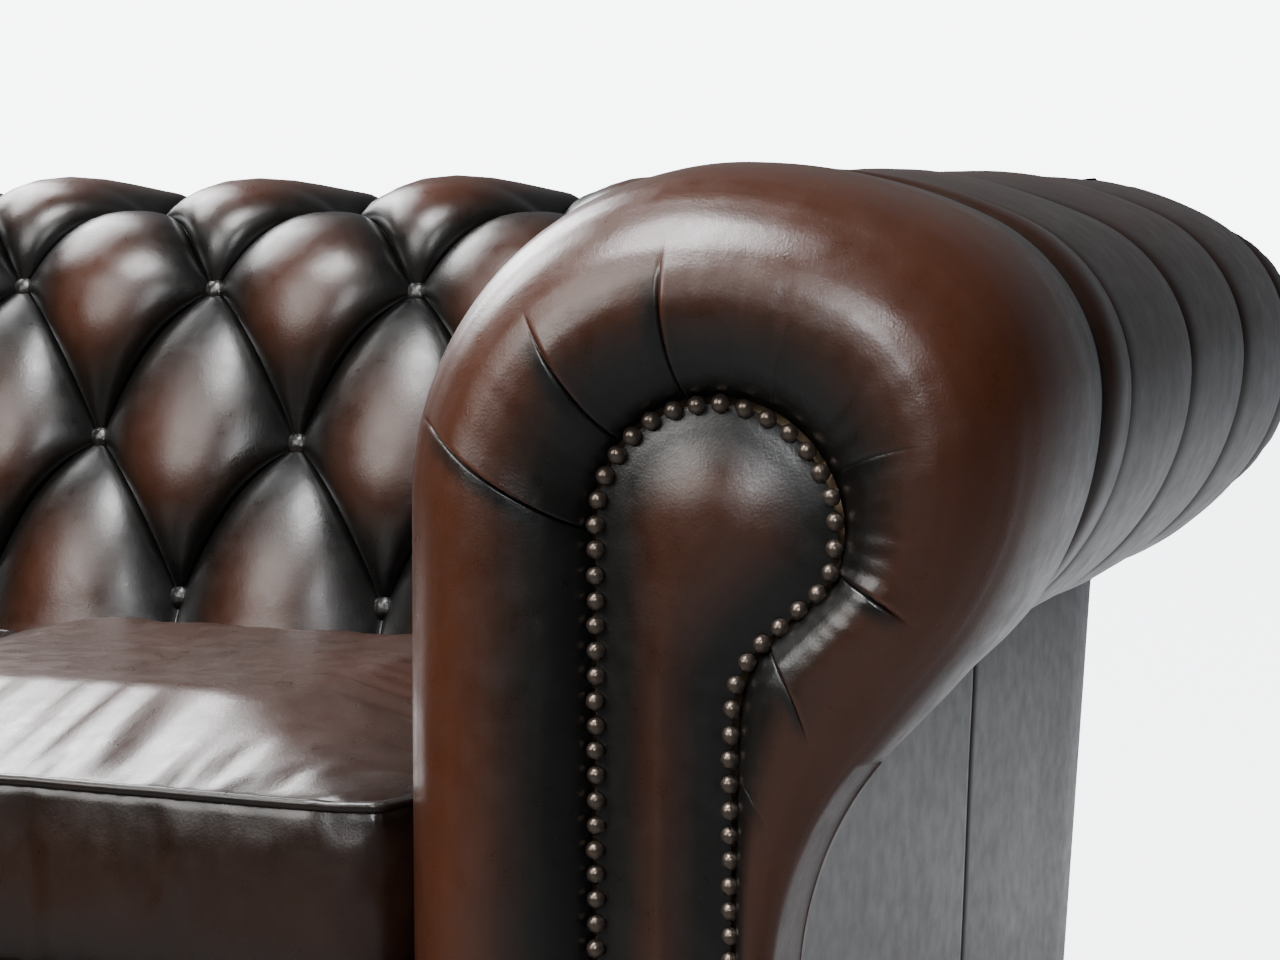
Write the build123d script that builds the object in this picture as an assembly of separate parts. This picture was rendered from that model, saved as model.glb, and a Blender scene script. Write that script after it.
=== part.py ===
from build123d import *
import os
from math import cos, sin, tan, radians, pi, ceil

# A chesterfield corner sofa: two seat wings, each with a scroll arm at its free end,
# meet in a square corner section. Millimetres, +Z up, floor at z = 0.
# The origin lies on the floor under the middle of the sofa's plan.
# The right wing runs along X against the back, and the left wing is its mirror image
# in the vertical plane through the outside corner.

# Overall sizes
wing_length = 2500.0
sofa_height = 800.0
foot_height = 92.0
deck_height = 300.0
deck_thickness = 50.0
dust_cover_thickness = 2.0

# Seat and back
seat_depth = 577.0
back_rake = 15.0
back_pad_thickness = 95.0
back_frame_depth = 130.0
back_roll_radius = 120.0
panel_thickness = 8.0

# Arm, measured across from the middle of its facing
arm_inner_reach = 200.0
arm_outer_reach = 182.0
arm_pad_thickness = 100.0
arm_core_outer = 14.0
arm_core_height = 600.0
arm_shoulder_radius = 190.0
arm_crown_radius = 300.0
arm_crown_turn = 25.0
arm_belly_radius = 170.0
arm_belly_turn = 70.0

# Arm front: facing panel, stud line and the pleated border round them
stud_line_half_width = 71.0
stud_arch_height = 601.0
stud_line_foot = 10.0
stud_neck_high = 566.0
stud_neck_low = 520.0
stud_margin = 6.0
stud_pitch = 14.2
stud_radius = 5.2
stud_dome = 4.4
stud_shank_radius = 0.8
stud_shank_length = 26.0
facing_thickness = 20.0
front_board_thickness = 25.0
front_board_margin = 20.0
border_proud = 22.0
border_outer_round = 40.0
border_inner_round = 10.0
border_outer_foot = 34.0
border_belly_radius = 209.0
border_belly_turn = 40.0
border_neck_straight = 70.0

# Deep buttoning: width of a diamond, and rows counted along the pad's surface
back_tuft_width = 190.0
arm_tuft_width = 200.0
tuft_row_pitch = 134.0
tuft_first_row_height = 460.0
tuft_rows = 4
back_tuft_from_arm = 130.0
arm_tuft_from_front = 119.0
groove_depth = 15.0
groove_half_width = 15.0
groove_lift = 12.0
fold_chord = 60.0
fold_clear = 9.0
fold_overrun = 4.0
fold_bend_slack = 25.0
dimple_depth = 30.0
dimple_mouth_radius = 32.0
button_radius = 12.0
button_height = 8.0
button_clearance = 1.0

# Timber frame and springs
rail_thickness = 28.0
rib_thickness = 25.0
top_rail_thickness = 30.0
front_rail_setback = 20.0
back_rail_setback = 690.0
spring_wire = 4.0
spring_half_width = 22.0
spring_run_pitch = 24.0
spring_clearance = 2.0
springs_per_seat = 4
front_border_thickness = 18.0

# Seat cushions
cushion_thickness = 150.0
cushion_crown = 24.0
cushion_gap = 3.0
cushion_draw_in = 7.0
cushion_corner = 26.0
cushion_round = 18.0
cushion_front_setback = 6.0

# Feet and joining hardware
foot_radius = 43.0
foot_neck_radius = 30.0
foot_base_radius = 28.0
foot_block_side = 90.0
foot_block_height = 40.0
bolt_radius = 4.0
bolt_clearance = 0.2
bolt_in_foot = 45.0
join_bolt_radius = 5.0
join_head_radius = 11.0
join_head_thickness = 7.0
join_bolt_height = 170.0

# Places worked out from the sizes above
half = wing_length / 2
rake = radians(back_rake)
roll_rise = (sofa_height - deck_height - back_roll_radius * (1 - sin(rake))) / cos(rake)
rear_reach = seat_depth + back_roll_radius * (1 + cos(rake)) + roll_rise * sin(rake)
front_y = half - rear_reach
arm_x = half - arm_outer_reach
seat_end_x = arm_x - arm_inner_reach
section_x = -front_y
deck_bottom = deck_height - deck_thickness
rail_top = deck_bottom - spring_wire
pad_bottom = deck_bottom + spring_clearance
frame_bottom = foot_height + dust_cover_thickness
back_core_rear = back_pad_thickness + back_frame_depth
roll_drop = (back_roll_radius ** 2 - (back_core_rear - back_roll_radius) ** 2) ** 0.5
back_core_top = roll_rise - roll_drop
arm_core_inner = arm_inner_reach - arm_pad_thickness
mirror_plane = Plane((0, 0, 0), z_dir=(1, 1, 0))

# The raked plane of the inside back: first axis into the back, second axis up its slope
back_plane = Plane((0, front_y + seat_depth, deck_height), x_dir=(0, cos(rake), -sin(rake)), z_dir=(1, 0, 0))
# The arm's cross-section plane at its facing: first axis outwards, second axis up
arm_plane = Plane((arm_x, front_y, 0), x_dir=(1, 0, 0), z_dir=(0, -1, 0))
# Vertical mitres: where an arm meets the back, and where the two backs meet
mitre_depth = seat_depth + cushion_thickness * tan(rake)
mitre_run = Vector(half - seat_end_x, half - front_y - mitre_depth, 0)
arm_mitre = Plane((seat_end_x, front_y + mitre_depth, 0), z_dir=(-mitre_run.Y, mitre_run.X, 0))
corner_mitre = Plane((-half, half, 0), z_dir=(1, 1, 0))


def mirrored(shape):
    """The left wing's copy of a right-wing shape."""
    return mirror(shape, about=mirror_plane)


def block(x0, x1, y0, y1, z0, z1):
    """A box between two corners."""
    return Pos((x0 + x1) / 2, (y0 + y1) / 2, (z0 + z1) / 2) * Box(x1 - x0, y1 - y0, z1 - z0)


def depth_block(x0, x1, d0, d1, z0, z1):
    """A box whose second pair is depth behind the arm facings."""
    return block(x0, x1, front_y + d0, front_y + d1, z0, z1)


def raked_plate(x0, x1, n0, n1, s0, s1):
    """A box square to the inside back: n is into the back and s is up its slope."""
    face = make_face(Polyline((n0, s0), (n1, s0), (n1, s1), (n0, s1), close=True))
    return extrude(Pos(x0, 0, 0) * (back_plane * face), amount=x1 - x0, dir=(1, 0, 0))


def slope_at(height):
    """The distance up the inside back at a height."""
    return (height - deck_height) / cos(rake)


class Skin:
    """A pad's outer surface: a flat line carried along a straight run."""

    def __init__(self, line, along, inside):
        self.line = line
        self.along = Vector(*along)
        facing = (self.line % 0).cross(self.along)
        self.sign = -1 if facing.dot(Vector(*inside)) > 0 else 1

    def point(self, u, v):
        place = self.line.position_at(v, position_mode=PositionMode.LENGTH)
        return place + self.along * u

    def normal(self, v):
        tangent = self.line.tangent_at(v, position_mode=PositionMode.LENGTH)
        return tangent.cross(self.along) * self.sign

    def groove(self, start, end, steps):
        """V-section cutters along a fold from one (u, v) to another, kept just clear of both."""
        cutters = []
        long = ((end[0] - start[0]) ** 2 + (end[1] - start[1]) ** 2) ** 0.5
        clear = fold_clear / long
        for k in range(steps):
            shares = (clear + (1 - 2 * clear) * (k + i) / steps for i in (0, 1))
            a, b = ([s + (e - s) * share for s, e in zip(start, end)] for share in shares)
            p, q = self.point(*a), self.point(*b)
            run = q - p
            start_point = p - run.normalized() * fold_overrun
            plane = Plane(start_point, x_dir=self.normal((a[1] + b[1]) / 2), z_dir=run)
            wide = groove_half_width * (groove_depth + groove_lift) / groove_depth
            section_face = make_face(Polyline((groove_lift, -wide), (groove_lift, wide), (-groove_depth, 0), close=True))
            cutters.append(extrude(plane * section_face, amount=run.length + 2 * fold_overrun))
        return cutters

    def seat_plane(self, u, v):
        """Where a button sits, at the bottom of its dimple."""
        normal = self.normal(v)
        return Plane(self.point(u, v) - normal * dimple_depth, x_dir=self.along, z_dir=normal)

    def dimple(self, u, v):
        floor_radius = button_radius + button_clearance
        deep = dimple_depth + groove_lift
        mouth = floor_radius + (dimple_mouth_radius - floor_radius) * deep / dimple_depth
        return self.seat_plane(u, v) * Pos(0, 0, deep / 2) * Cone(floor_radius, mouth, deep)

    def button(self, u, v):
        dome = button_height - button_height / 3
        base = Cylinder(button_radius, button_height / 3, align=(Align.CENTER, Align.CENTER, Align.MIN))
        ball_radius = (button_radius ** 2 + dome ** 2) / (2 * dome)
        cap = Pos(0, 0, button_height - ball_radius) * Sphere(ball_radius)
        rim = Cylinder(button_radius, button_height, align=(Align.CENTER, Align.CENTER, Align.MIN))
        return self.seat_plane(u, v) * (base + (rim & cap))


def tuft_layout(skin, first_v, last_v, first_u, width, u_range):
    """Button places, and sets of fold lines that don't touch one another, inside a stretch of the run."""
    low, high = u_range
    rows = [first_v + tuft_row_pitch * k for k in range(tuft_rows)]
    buttons, sets = [], []
    for k, v in enumerate(rows):
        shift = first_u + (width / 2 if k % 2 else 0)
        first = ceil((low - width - shift) / width)
        last = ceil((high + width - shift) / width)
        places = [shift + width * i for i in range(first, last + 1)]
        buttons += [(u, v) for u in places]
        if k == 0:
            sets.append([((u, 0), (u, v), 1) for u in places])
        if k + 1 < tuft_rows:
            steps = 3 if rows[k + 1] > skin.bend + fold_bend_slack else 1
            for side in (-1, 1):
                sets.append([((u, v), (u + side * width / 2, rows[k + 1]), steps) for u in places])
        else:
            steps = ceil((last_v - v) / fold_chord)
            sets.append([((u, v), (u, last_v), steps) for u in places])
    return buttons, sets


def tufted(pad, skin, layout, u_range):
    """Cuts a pad's folds and dimples, and returns it with the buttons that sit in it."""
    buttons, sets = layout
    low, high = u_range
    inside = [b for b in buttons if low - dimple_mouth_radius < b[0] < high + dimple_mouth_radius]
    for folds in sets:
        reached = [f for f in folds if max(f[0][0], f[1][0]) > low and min(f[0][0], f[1][0]) < high]
        grooves = [skin.groove(*f) for f in reached]
        for chord in zip(*grooves):
            pad = pad - list(chord)
    pad = pad - [skin.dimple(*b) for b in inside]
    whole = [b for b in buttons if low + dimple_mouth_radius < b[0] < high - dimple_mouth_radius]
    return pad, [skin.button(*b) for b in whole]


def group(shapes):
    """Several solids as one node."""
    return Compound([s for shape in shapes for s in shape.solids()])


def back_outline():
    """Inside back line and roll, from the pad's bottom to the underside of the roll."""
    bottom = slope_at(pad_bottom)
    rise = Line((0, bottom), (0, roll_rise))
    front = JernArc(rise @ 1, (0, 1), back_roll_radius, -90)
    rear = JernArc(front @ 1, front % 1, back_roll_radius, -90)
    under = ThreePointArc(
        rear @ 1,
        (back_roll_radius * (1 + cos(radians(15))), roll_rise - back_roll_radius * sin(radians(15))),
        (back_core_rear, back_core_top),
    )
    return Wire([rise, front, rear, under])


def arm_outline(foot, belly_radius, belly_turn):
    """Inside arm line and roll, from a foot height to the underside of the roll."""
    rise = Line((-arm_inner_reach, foot), (-arm_inner_reach, sofa_height - arm_shoulder_radius))
    shoulder = JernArc(rise @ 1, (0, 1), arm_shoulder_radius, -90)
    crown = JernArc(shoulder @ 1, shoulder % 1, arm_crown_radius, -arm_crown_turn)
    brow_radius = (arm_outer_reach - (crown @ 1).X) / (1 - sin(radians(arm_crown_turn)))
    brow = JernArc(crown @ 1, crown % 1, brow_radius, arm_crown_turn - 90)
    belly = JernArc(brow @ 1, brow % 1, belly_radius, -belly_turn)
    return [rise, shoulder, crown, brow, belly]


def arm_tuck():
    """Where the underside of the roll, carried straight on, meets the outside arm panel."""
    belly = arm_outline(pad_bottom, arm_belly_radius, arm_belly_turn)[-1]
    end, way = belly @ 1, belly % 1
    panel_face = arm_core_outer + panel_thickness
    return end + way * ((panel_face - end.X) / way.X)


def stud_outline():
    """The line of studs on an arm front: up the seat side, round the scroll and down."""
    half_width = stud_line_half_width
    up = Line((-half_width, frame_bottom), (-half_width, stud_arch_height))
    left = JernArc(up @ 1, (0, 1), half_width, -90)
    right = JernArc(left @ 1, left % 1, half_width, -90)
    waist = half_width * 0.8
    curl = ThreePointArc(
        right @ 1,
        (half_width * 0.96, (stud_arch_height + stud_neck_high) / 2 - 3),
        (waist, stud_neck_high),
    )
    neck_x = stud_line_foot + 12
    slope = Line(curl @ 1, (neck_x, stud_neck_low + 13))
    neck = ThreePointArc(slope @ 1, (stud_line_foot + 3, stud_neck_low), (stud_line_foot, stud_neck_low - 15))
    down = Line(neck @ 1, (stud_line_foot, frame_bottom))
    return Wire([up, left, right, curl, slope, neck, down])


def facing_face(margin):
    """The facing's outline, a margin outside the stud line and level at its foot."""
    line = stud_outline()
    whole = make_face(Wire([*line.edges(), Line(line @ 1, line @ 0)]))
    grown = offset(whole, margin)
    reach = arm_inner_reach * 2
    cut = Pos(0, frame_bottom - reach / 2) * Rectangle(reach, reach)
    return grown - cut


def front_extrude(face, d0, d1):
    """An arm-plane face as a slab between two depths behind the facing plane."""
    placed = Pos(0, d0, 0) * (arm_plane * face)
    return extrude(placed, amount=d1 - d0, dir=(0, 1, 0))


def arm_front_parts():
    """Front board, facing, border and studs of the right arm."""
    nodes = {}
    board_face = facing_face(front_board_margin)
    board_front = facing_thickness
    board_back = board_front + front_board_thickness
    nodes["arm_front_board"] = front_extrude(board_face, board_front, board_back)

    facing = front_extrude(facing_face(stud_margin), 0, facing_thickness)
    nodes["arm_facing"] = facing

    outline = arm_outline(frame_bottom, border_belly_radius, border_belly_turn)
    end, way = outline[-1] @ 1, outline[-1] % 1
    outline.append(Line(end, end + way * border_neck_straight))
    end = outline[-1] @ 1
    sweep_in = (end.X - border_outer_foot) / (1 - cos(radians(border_belly_turn)))
    neck = JernArc(end, way, sweep_in, border_belly_turn)
    foot = Polyline(neck @ 1, (border_outer_foot, frame_bottom), (-arm_inner_reach, frame_bottom))
    outer = make_face(Wire([*outline, neck, *foot.edges()]))
    border = front_extrude(outer, -border_proud, board_front)
    front_edges = border.faces().sort_by(Axis.Y)[0].edges()
    rounded = [e for e in front_edges if e.bounding_box().max.Z > frame_bottom + 1]
    border = fillet(rounded, border_outer_round / 2)
    opening = front_extrude(facing_face(stud_margin), -border_proud * 2, board_front)
    nodes["arm_border"] = border - opening

    line = stud_outline()
    count = int(line.length / stud_pitch)
    gap = line.length / count
    stud = stud_solid()
    places = [line.position_at((k + 0.5) * gap, position_mode=PositionMode.LENGTH) for k in range(count)]
    nodes["arm_studs"] = group([Pos(arm_x + p.X, front_y, p.Y) * stud for p in places])
    return nodes


def stud_solid():
    """A domed upholstery nail with its head's flat side on the facing plane, pointing forwards."""
    ball = (stud_radius ** 2 + stud_dome ** 2) / (2 * stud_dome)
    head = Cylinder(stud_radius, stud_dome, align=(Align.CENTER, Align.CENTER, Align.MIN))
    head = head & (Pos(0, 0, stud_dome - ball) * Sphere(ball))
    shank = Cylinder(stud_shank_radius, stud_shank_length, align=(Align.CENTER, Align.CENTER, Align.MAX))
    return Rot(90, 0, 0) * (head + shank)


def back_parts():
    """Back pads and buttons of the right wing and of the corner's right half."""
    nodes = {}
    outline = back_outline()
    line = [*outline.edges()]
    end = outline @ 1
    closing = Polyline(
        end,
        (back_pad_thickness, back_core_top),
        (back_pad_thickness, slope_at(pad_bottom)),
        outline @ 0,
    )
    face = back_plane * make_face(Wire([*line, *closing.edges()]))
    skin = Skin(back_plane * outline, (1, 0, 0), (0, 1, 0))
    bottom = slope_at(pad_bottom)
    skin.bend = roll_rise - bottom
    first_v = slope_at(tuft_first_row_height) - bottom
    first_u = seat_end_x - back_tuft_from_arm
    for name, x0, x1, plane, keep in (
        ("back", section_x, half, arm_mitre, Keep.TOP),
        ("corner_back", -half, section_x, corner_mitre, Keep.TOP),
    ):
        pad = extrude(Pos(x0, 0, 0) * face, amount=x1 - x0, dir=(1, 0, 0))
        layout = tuft_layout(skin, first_v, outline.length, first_u, back_tuft_width, (x0, x1))
        pad, buttons = tufted(pad, skin, layout, (x0, x1))
        pad = split(pad, bisect_by=Plane.XY.offset(pad_bottom), keep=Keep.TOP)
        nodes[name + "_pad"] = split(pad, bisect_by=plane, keep=keep)
        clear = plane.offset(dimple_mouth_radius)
        kept = [b for b in buttons if clear.to_local_coords(b.center()).Z > 0]
        nodes[name + "_buttons"] = group(kept)
    return nodes


def arm_parts():
    """Arm pad and buttons of the right wing."""
    nodes = {}
    edges = arm_outline(pad_bottom, arm_belly_radius, arm_belly_turn)
    edges.append(Line(edges[-1] @ 1, arm_tuck()))
    outline = Wire(edges)
    closing = Polyline(
        outline @ 1,
        (arm_core_outer, arm_tuck().Y),
        (arm_core_outer, arm_core_height),
        (-arm_core_inner, arm_core_height),
        (-arm_core_inner, pad_bottom),
        outline @ 0,
    )
    start = facing_thickness
    face = make_face(Wire([*edges, *closing.edges()]))
    pad = front_extrude(face, start, rear_reach)
    pad = pad - front_extrude(facing_face(front_board_margin), start, start + front_board_thickness)
    skin = Skin(arm_plane * outline, (0, 1, 0), (1, 0, 0))
    skin.bend = (edges[0]).length
    first_v = tuft_first_row_height - pad_bottom
    u_range = (start, rear_reach)
    layout = tuft_layout(skin, first_v, outline.length, start + arm_tuft_from_front, arm_tuft_width, u_range)
    pad, buttons = tufted(pad, skin, layout, u_range)
    nodes["arm_pad"] = split(pad, bisect_by=arm_mitre, keep=Keep.BOTTOM)
    clear = arm_mitre.offset(-dimple_mouth_radius)
    kept = [b for b in buttons if clear.to_local_coords(b.center()).Z < 0]
    nodes["arm_buttons"] = group(kept)
    return nodes


def spring(x, d0):
    """One zigzag seat spring from a front rail's setback to the back rail."""
    z = rail_top + spring_wire / 2
    start = front_y + d0 + rail_thickness / 2
    length = back_rail_setback - d0
    runs = int(length / spring_run_pitch)
    step = length / runs
    edges = []
    for k in range(runs + 1):
        side = spring_half_width if k % 2 else -spring_half_width
        y = start + k * step
        edges.append(Line((x + side, y, z), (x - side, y, z)))
        if k < runs:
            bend = (x - side * (1 + step / 2 / spring_half_width), y + step / 2, z)
            edges.append(ThreePointArc((x - side, y, z), bend, (x - side, y + step, z)))
    path = Wire(edges)
    section_plane = Plane(path @ 0, z_dir=path % 0)
    return sweep(section_plane * Circle(spring_wire / 2), path=path)


def springs(x0, seats, width, d0):
    """Equal springs under a row of seats."""
    pitch = width / springs_per_seat
    first = spring(x0 + pitch / 2, d0)
    return group([Pos(pitch * k, 0, 0) * first for k in range(seats * springs_per_seat)])


def cushion(x0, x1, y0, y1):
    """A box cushion: crowned top, sides drawn in between its corners, rounded edges."""
    z1 = deck_height + cushion_thickness
    corners = [(x0, y0), (x1, y0), (x1, y1), (x0, y1)]
    middle = Vector((x0 + x1) / 2, (y0 + y1) / 2)
    edges = []
    for p, q in zip(corners, corners[1:] + corners[:1]):
        side = Vector((p[0] + q[0]) / 2, (p[1] + q[1]) / 2)
        inward = (middle - side).normalized() * cushion_draw_in
        edges.append(ThreePointArc(p, side + inward, q))
    face = make_face(Wire(edges))
    face = fillet(face.vertices(), cushion_corner)
    body = extrude(Pos(0, 0, deck_height) * face, amount=cushion_thickness)
    reach = ((x1 - x0) ** 2 + (y1 - y0) ** 2) ** 0.5 / 2
    ball = (reach ** 2 + cushion_crown ** 2) / (2 * cushion_crown)
    body = body & (Pos(middle.X, middle.Y, z1 - ball) * Sphere(ball))
    top = body.faces().sort_by(Axis.Z)[-1]
    bottom = body.faces().sort_by(Axis.Z)[0]
    return fillet([*top.edges(), *bottom.edges()], cushion_round)


def foot_places():
    """Foot centres in the corners of the three seat frames."""
    block_half = foot_block_side / 2
    wing_x = (section_x + rail_thickness + block_half, arm_x + arm_core_outer - rail_thickness - block_half)
    front_row = front_y + front_rail_setback + rail_thickness + block_half
    back_row = front_y + back_rail_setback - block_half
    right = [(x, y) for x in wing_x for y in (front_row, back_row)]
    left = [(-y, -x) for x, y in right]
    near, far = section_x - rail_thickness - block_half, -back_row
    corner = [(x, -y) for x in (near, far) for y in (near, far)]
    return right, corner, left


def foot_hardware():
    """Bun feet, their bolts, the blocks that the bolts screw into, and the holes' places."""
    swell = (8 * foot_radius - foot_base_radius - foot_neck_radius) / 6
    profile = [
        Line((0, 0), (foot_base_radius, 0)),
        Bezier(
            (foot_base_radius, 0),
            (swell, foot_height * 0.15),
            (swell, foot_height * 0.66),
            (foot_neck_radius, foot_height * 0.8),
        ),
        Line((foot_neck_radius, foot_height * 0.8), (foot_neck_radius, foot_height)),
        Line((foot_neck_radius, foot_height), (0, foot_height)),
        Line((0, foot_height), (0, 0)),
    ]
    bun = revolve(Plane.XZ * make_face(Wire(profile)), Axis.Z)
    hole_radius = bolt_radius + bolt_clearance
    bolt_base = foot_height - bolt_in_foot
    bolt_top = frame_bottom + foot_block_height
    low = (Align.CENTER, Align.CENTER, Align.MIN)
    hole = Pos(0, 0, bolt_base) * Cylinder(hole_radius, bolt_top - bolt_base, align=low)
    bolt = Pos(0, 0, bolt_base) * Cylinder(bolt_radius, bolt_top - bolt_base, align=low)
    wood = Pos(0, 0, frame_bottom) * Box(foot_block_side, foot_block_side, foot_block_height, align=low)
    return bun - hole, bolt, wood - hole, hole


def join_holes():
    """Clearance holes for the bolts that tie the right wing to the corner."""
    return [Plane(p, z_dir=(1, 0, 0)) * Cylinder(join_bolt_radius + bolt_clearance, rail_thickness * 3) for p in join_places()]


def join_places():
    """Where the wing's end rail is bolted to the corner's."""
    span = (front_rail_setback + rail_thickness, back_rail_setback)
    return [(section_x, front_y + span[0] + (span[1] - span[0]) * k, join_bolt_height) for k in (0.3, 0.7)]


def join_bolts():
    """Bolts with a head in the corner and a nut in the wing, for the right-hand joint."""
    bolts, nuts = [], []
    low = (Align.CENTER, Align.CENTER, Align.MIN)
    long = 2 * rail_thickness + 2 * join_head_thickness
    for place in join_places():
        start = Plane(place, z_dir=(1, 0, 0)).offset(-rail_thickness - join_head_thickness)
        head = Cylinder(join_head_radius, join_head_thickness, align=low)
        shaft = Cylinder(join_bolt_radius, long, align=low)
        bolts.append(start * (head + shaft))
        nut = extrude(RegularPolygon(join_head_radius, 6) - Circle(join_bolt_radius + bolt_clearance), join_head_thickness)
        nuts.append(start * Pos(0, 0, long - join_head_thickness) * nut)
    return bolts, nuts


def base_rails():
    """Front, back and end rails of the right wing's seat frame."""
    inner = section_x
    outer = arm_x + arm_core_outer
    board_edge = arm_x - stud_line_half_width - front_board_margin
    board_back = facing_thickness + front_board_thickness
    d0 = front_rail_setback + rail_thickness
    front = depth_block(inner, board_edge, front_rail_setback, d0, frame_bottom, rail_top)
    back = depth_block(inner, outer, back_rail_setback, back_rail_setback + rail_thickness, frame_bottom, rail_top)
    ends = [
        depth_block(inner, inner + rail_thickness, d0, back_rail_setback, frame_bottom, rail_top) - join_holes(),
        depth_block(outer - rail_thickness, outer, board_back, back_rail_setback, frame_bottom, rail_top),
    ]
    return {"front_rail": front, "back_rail": back, "end_rails": group(ends)}


def back_rib(x):
    """A raked back post that stands on the back rail and laps down behind it."""
    lap = back_rail_setback + rail_thickness
    high = back_core_top - top_rail_thickness
    corners = [back_plane.from_local_coords((n, high, 0)) for n in (back_pad_thickness, back_core_rear)]
    foot_front, foot_rear = (
        corners[0] - Vector(0, tan(rake), 1) * (corners[0].Z - rail_top),
        corners[1] - Vector(0, tan(rake), 1) * (corners[1].Z - frame_bottom),
    )
    outline = Polyline(
        (corners[0].Y, corners[0].Z),
        (foot_front.Y, rail_top),
        (front_y + lap, rail_top),
        (front_y + lap, frame_bottom),
        (foot_rear.Y, frame_bottom),
        (corners[1].Y, corners[1].Z),
        close=True,
    )
    face = Plane((x, 0, 0), x_dir=(0, 1, 0), z_dir=(1, 0, 0)) * make_face(outline)
    return extrude(face, amount=rib_thickness, dir=(1, 0, 0))


def right_wing():
    """Every node of the right wing, by its name without the side."""
    nodes = base_rails()
    seat_width = seat_end_x - section_x
    rib_high = back_core_top - top_rail_thickness
    last_rib = seat_end_x - rib_thickness
    middles = [section_x + seat_width * k / 4 - rib_thickness / 2 for k in (1, 2, 3)]
    nodes["back_ribs"] = group([back_rib(x) for x in [section_x, *middles, last_rib]])
    nodes["back_top_rail"] = raked_plate(
        section_x, arm_x - arm_core_inner, back_pad_thickness, back_core_rear, rib_high, back_core_top
    )
    board_back = facing_thickness + front_board_thickness
    arm_rear = seat_depth
    arm_rail_low = arm_core_height - top_rail_thickness
    core = (arm_x - arm_core_inner, arm_x + arm_core_outer)
    rib_starts = (board_back, (board_back + arm_rear) / 2, arm_rear - rib_thickness)
    nodes["arm_ribs"] = group([depth_block(*core, d, d + rib_thickness, rail_top, arm_rail_low) for d in rib_starts])
    nodes["arm_top_rail"] = depth_block(*core, board_back, arm_rear, arm_rail_low, arm_core_height)
    nodes["seat_springs"] = springs(section_x, 2, seat_width / 2, front_rail_setback)
    deck_rear = seat_depth - deck_thickness * tan(rake)
    nodes["seat_deck"] = depth_block(section_x, seat_end_x, front_rail_setback, deck_rear, deck_bottom, deck_height)
    border_front = front_rail_setback - front_border_thickness
    nodes["front_border"] = depth_block(
        section_x, seat_end_x, border_front, front_rail_setback, frame_bottom, deck_height
    )
    nodes.update(back_parts())
    nodes.update(arm_parts())
    nodes.update(arm_front_parts())
    nodes.update(outside_panels())
    return nodes


def outside_panels():
    """Outside back of the wing and of the corner's right half, and outside arm."""
    inner, outer = back_core_rear, back_core_rear + panel_thickness
    low = slope_at(frame_bottom) + outer * tan(rake)
    top = back_core_top
    wing = raked_plate(section_x, arm_x + arm_core_outer, inner, outer, low, top)
    corner = split(raked_plate(-half, section_x, inner, outer, low, top), bisect_by=corner_mitre, keep=Keep.TOP)
    x0 = arm_x + arm_core_outer
    rear_low, rear_high = (back_plane.from_local_coords((outer, s, 0)) for s in (low, top))
    reach = front_y + mitre_depth + (x0 + panel_thickness - seat_end_x) * mitre_run.Y / mitre_run.X
    start = front_y + facing_thickness + front_board_thickness
    tuck_height = arm_tuck().Y
    outline = Polyline(
        (start, frame_bottom),
        (start, tuck_height),
        (reach, tuck_height),
        (reach, rear_high.Z),
        (rear_high.Y, rear_high.Z),
        (rear_low.Y, frame_bottom),
        close=True,
    )
    face = Plane((x0, 0, 0), x_dir=(0, 1, 0), z_dir=(1, 0, 0)) * make_face(outline)
    arm = extrude(face, amount=panel_thickness, dir=(1, 0, 0))
    return {"outside_back": wing, "corner_outside_back": corner, "outside_arm": arm}


def corner_section():
    """The corner section's rails, ribs, top rails, springs and deck."""
    nodes = {}
    rail_in, rail_out = back_rail_setback, back_rail_setback + rail_thickness
    near, far = section_x, -front_y - rail_in
    back = depth_block(far, near, rail_in, rail_out, frame_bottom, rail_top)
    turned_back = block(-front_y - rail_out, far, -near, front_y + rail_out, frame_bottom, rail_top)
    end = depth_block(near - rail_thickness, near, rail_thickness, rail_in, frame_bottom, rail_top) - join_holes()
    turned_end = depth_block(far, near, 0, rail_thickness, frame_bottom, rail_top) - [mirrored(h) for h in join_holes()]
    nodes["corner_base_rails"] = group([back, turned_back, end, turned_end])
    rib_high = back_core_top - top_rail_thickness
    ribs = [back_rib(near - rib_thickness), back_rib(-front_y - seat_depth)]
    nodes["corner_back_ribs"] = group([*ribs, *[mirrored(r) for r in ribs]])
    top = raked_plate(-half, near, back_pad_thickness, back_core_rear, rib_high, back_core_top)
    top = split(top, bisect_by=corner_mitre, keep=Keep.TOP)
    nodes["corner_top_rails"] = group([top, mirrored(top)])
    nodes["corner_seat_springs"] = springs(-front_y - seat_depth, 1, seat_depth, 0)
    rear = seat_depth - deck_thickness * tan(rake)
    nodes["corner_seat_deck"] = block(-front_y - rear, near, -near, front_y + rear, deck_bottom, deck_height)
    return nodes


def cushions():
    """Two seat cushions in each wing and one in the corner."""
    nodes = {}
    seat_width = (seat_end_x - section_x) / 2
    side = cushion_gap / 2
    y0, y1 = front_y + cushion_front_setback, front_y + seat_depth - cushion_gap
    for k, name in enumerate(("inner", "outer")):
        x0 = section_x + seat_width * k
        shape = cushion(x0 + side, x0 + seat_width - side, y0, y1)
        nodes[f"right_cushion_{name}"] = shape
        nodes[f"left_cushion_{name}"] = mirrored(shape)
    nodes["corner_cushion"] = cushion(-y1, section_x - side, front_y + side, y1)
    return nodes


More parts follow.
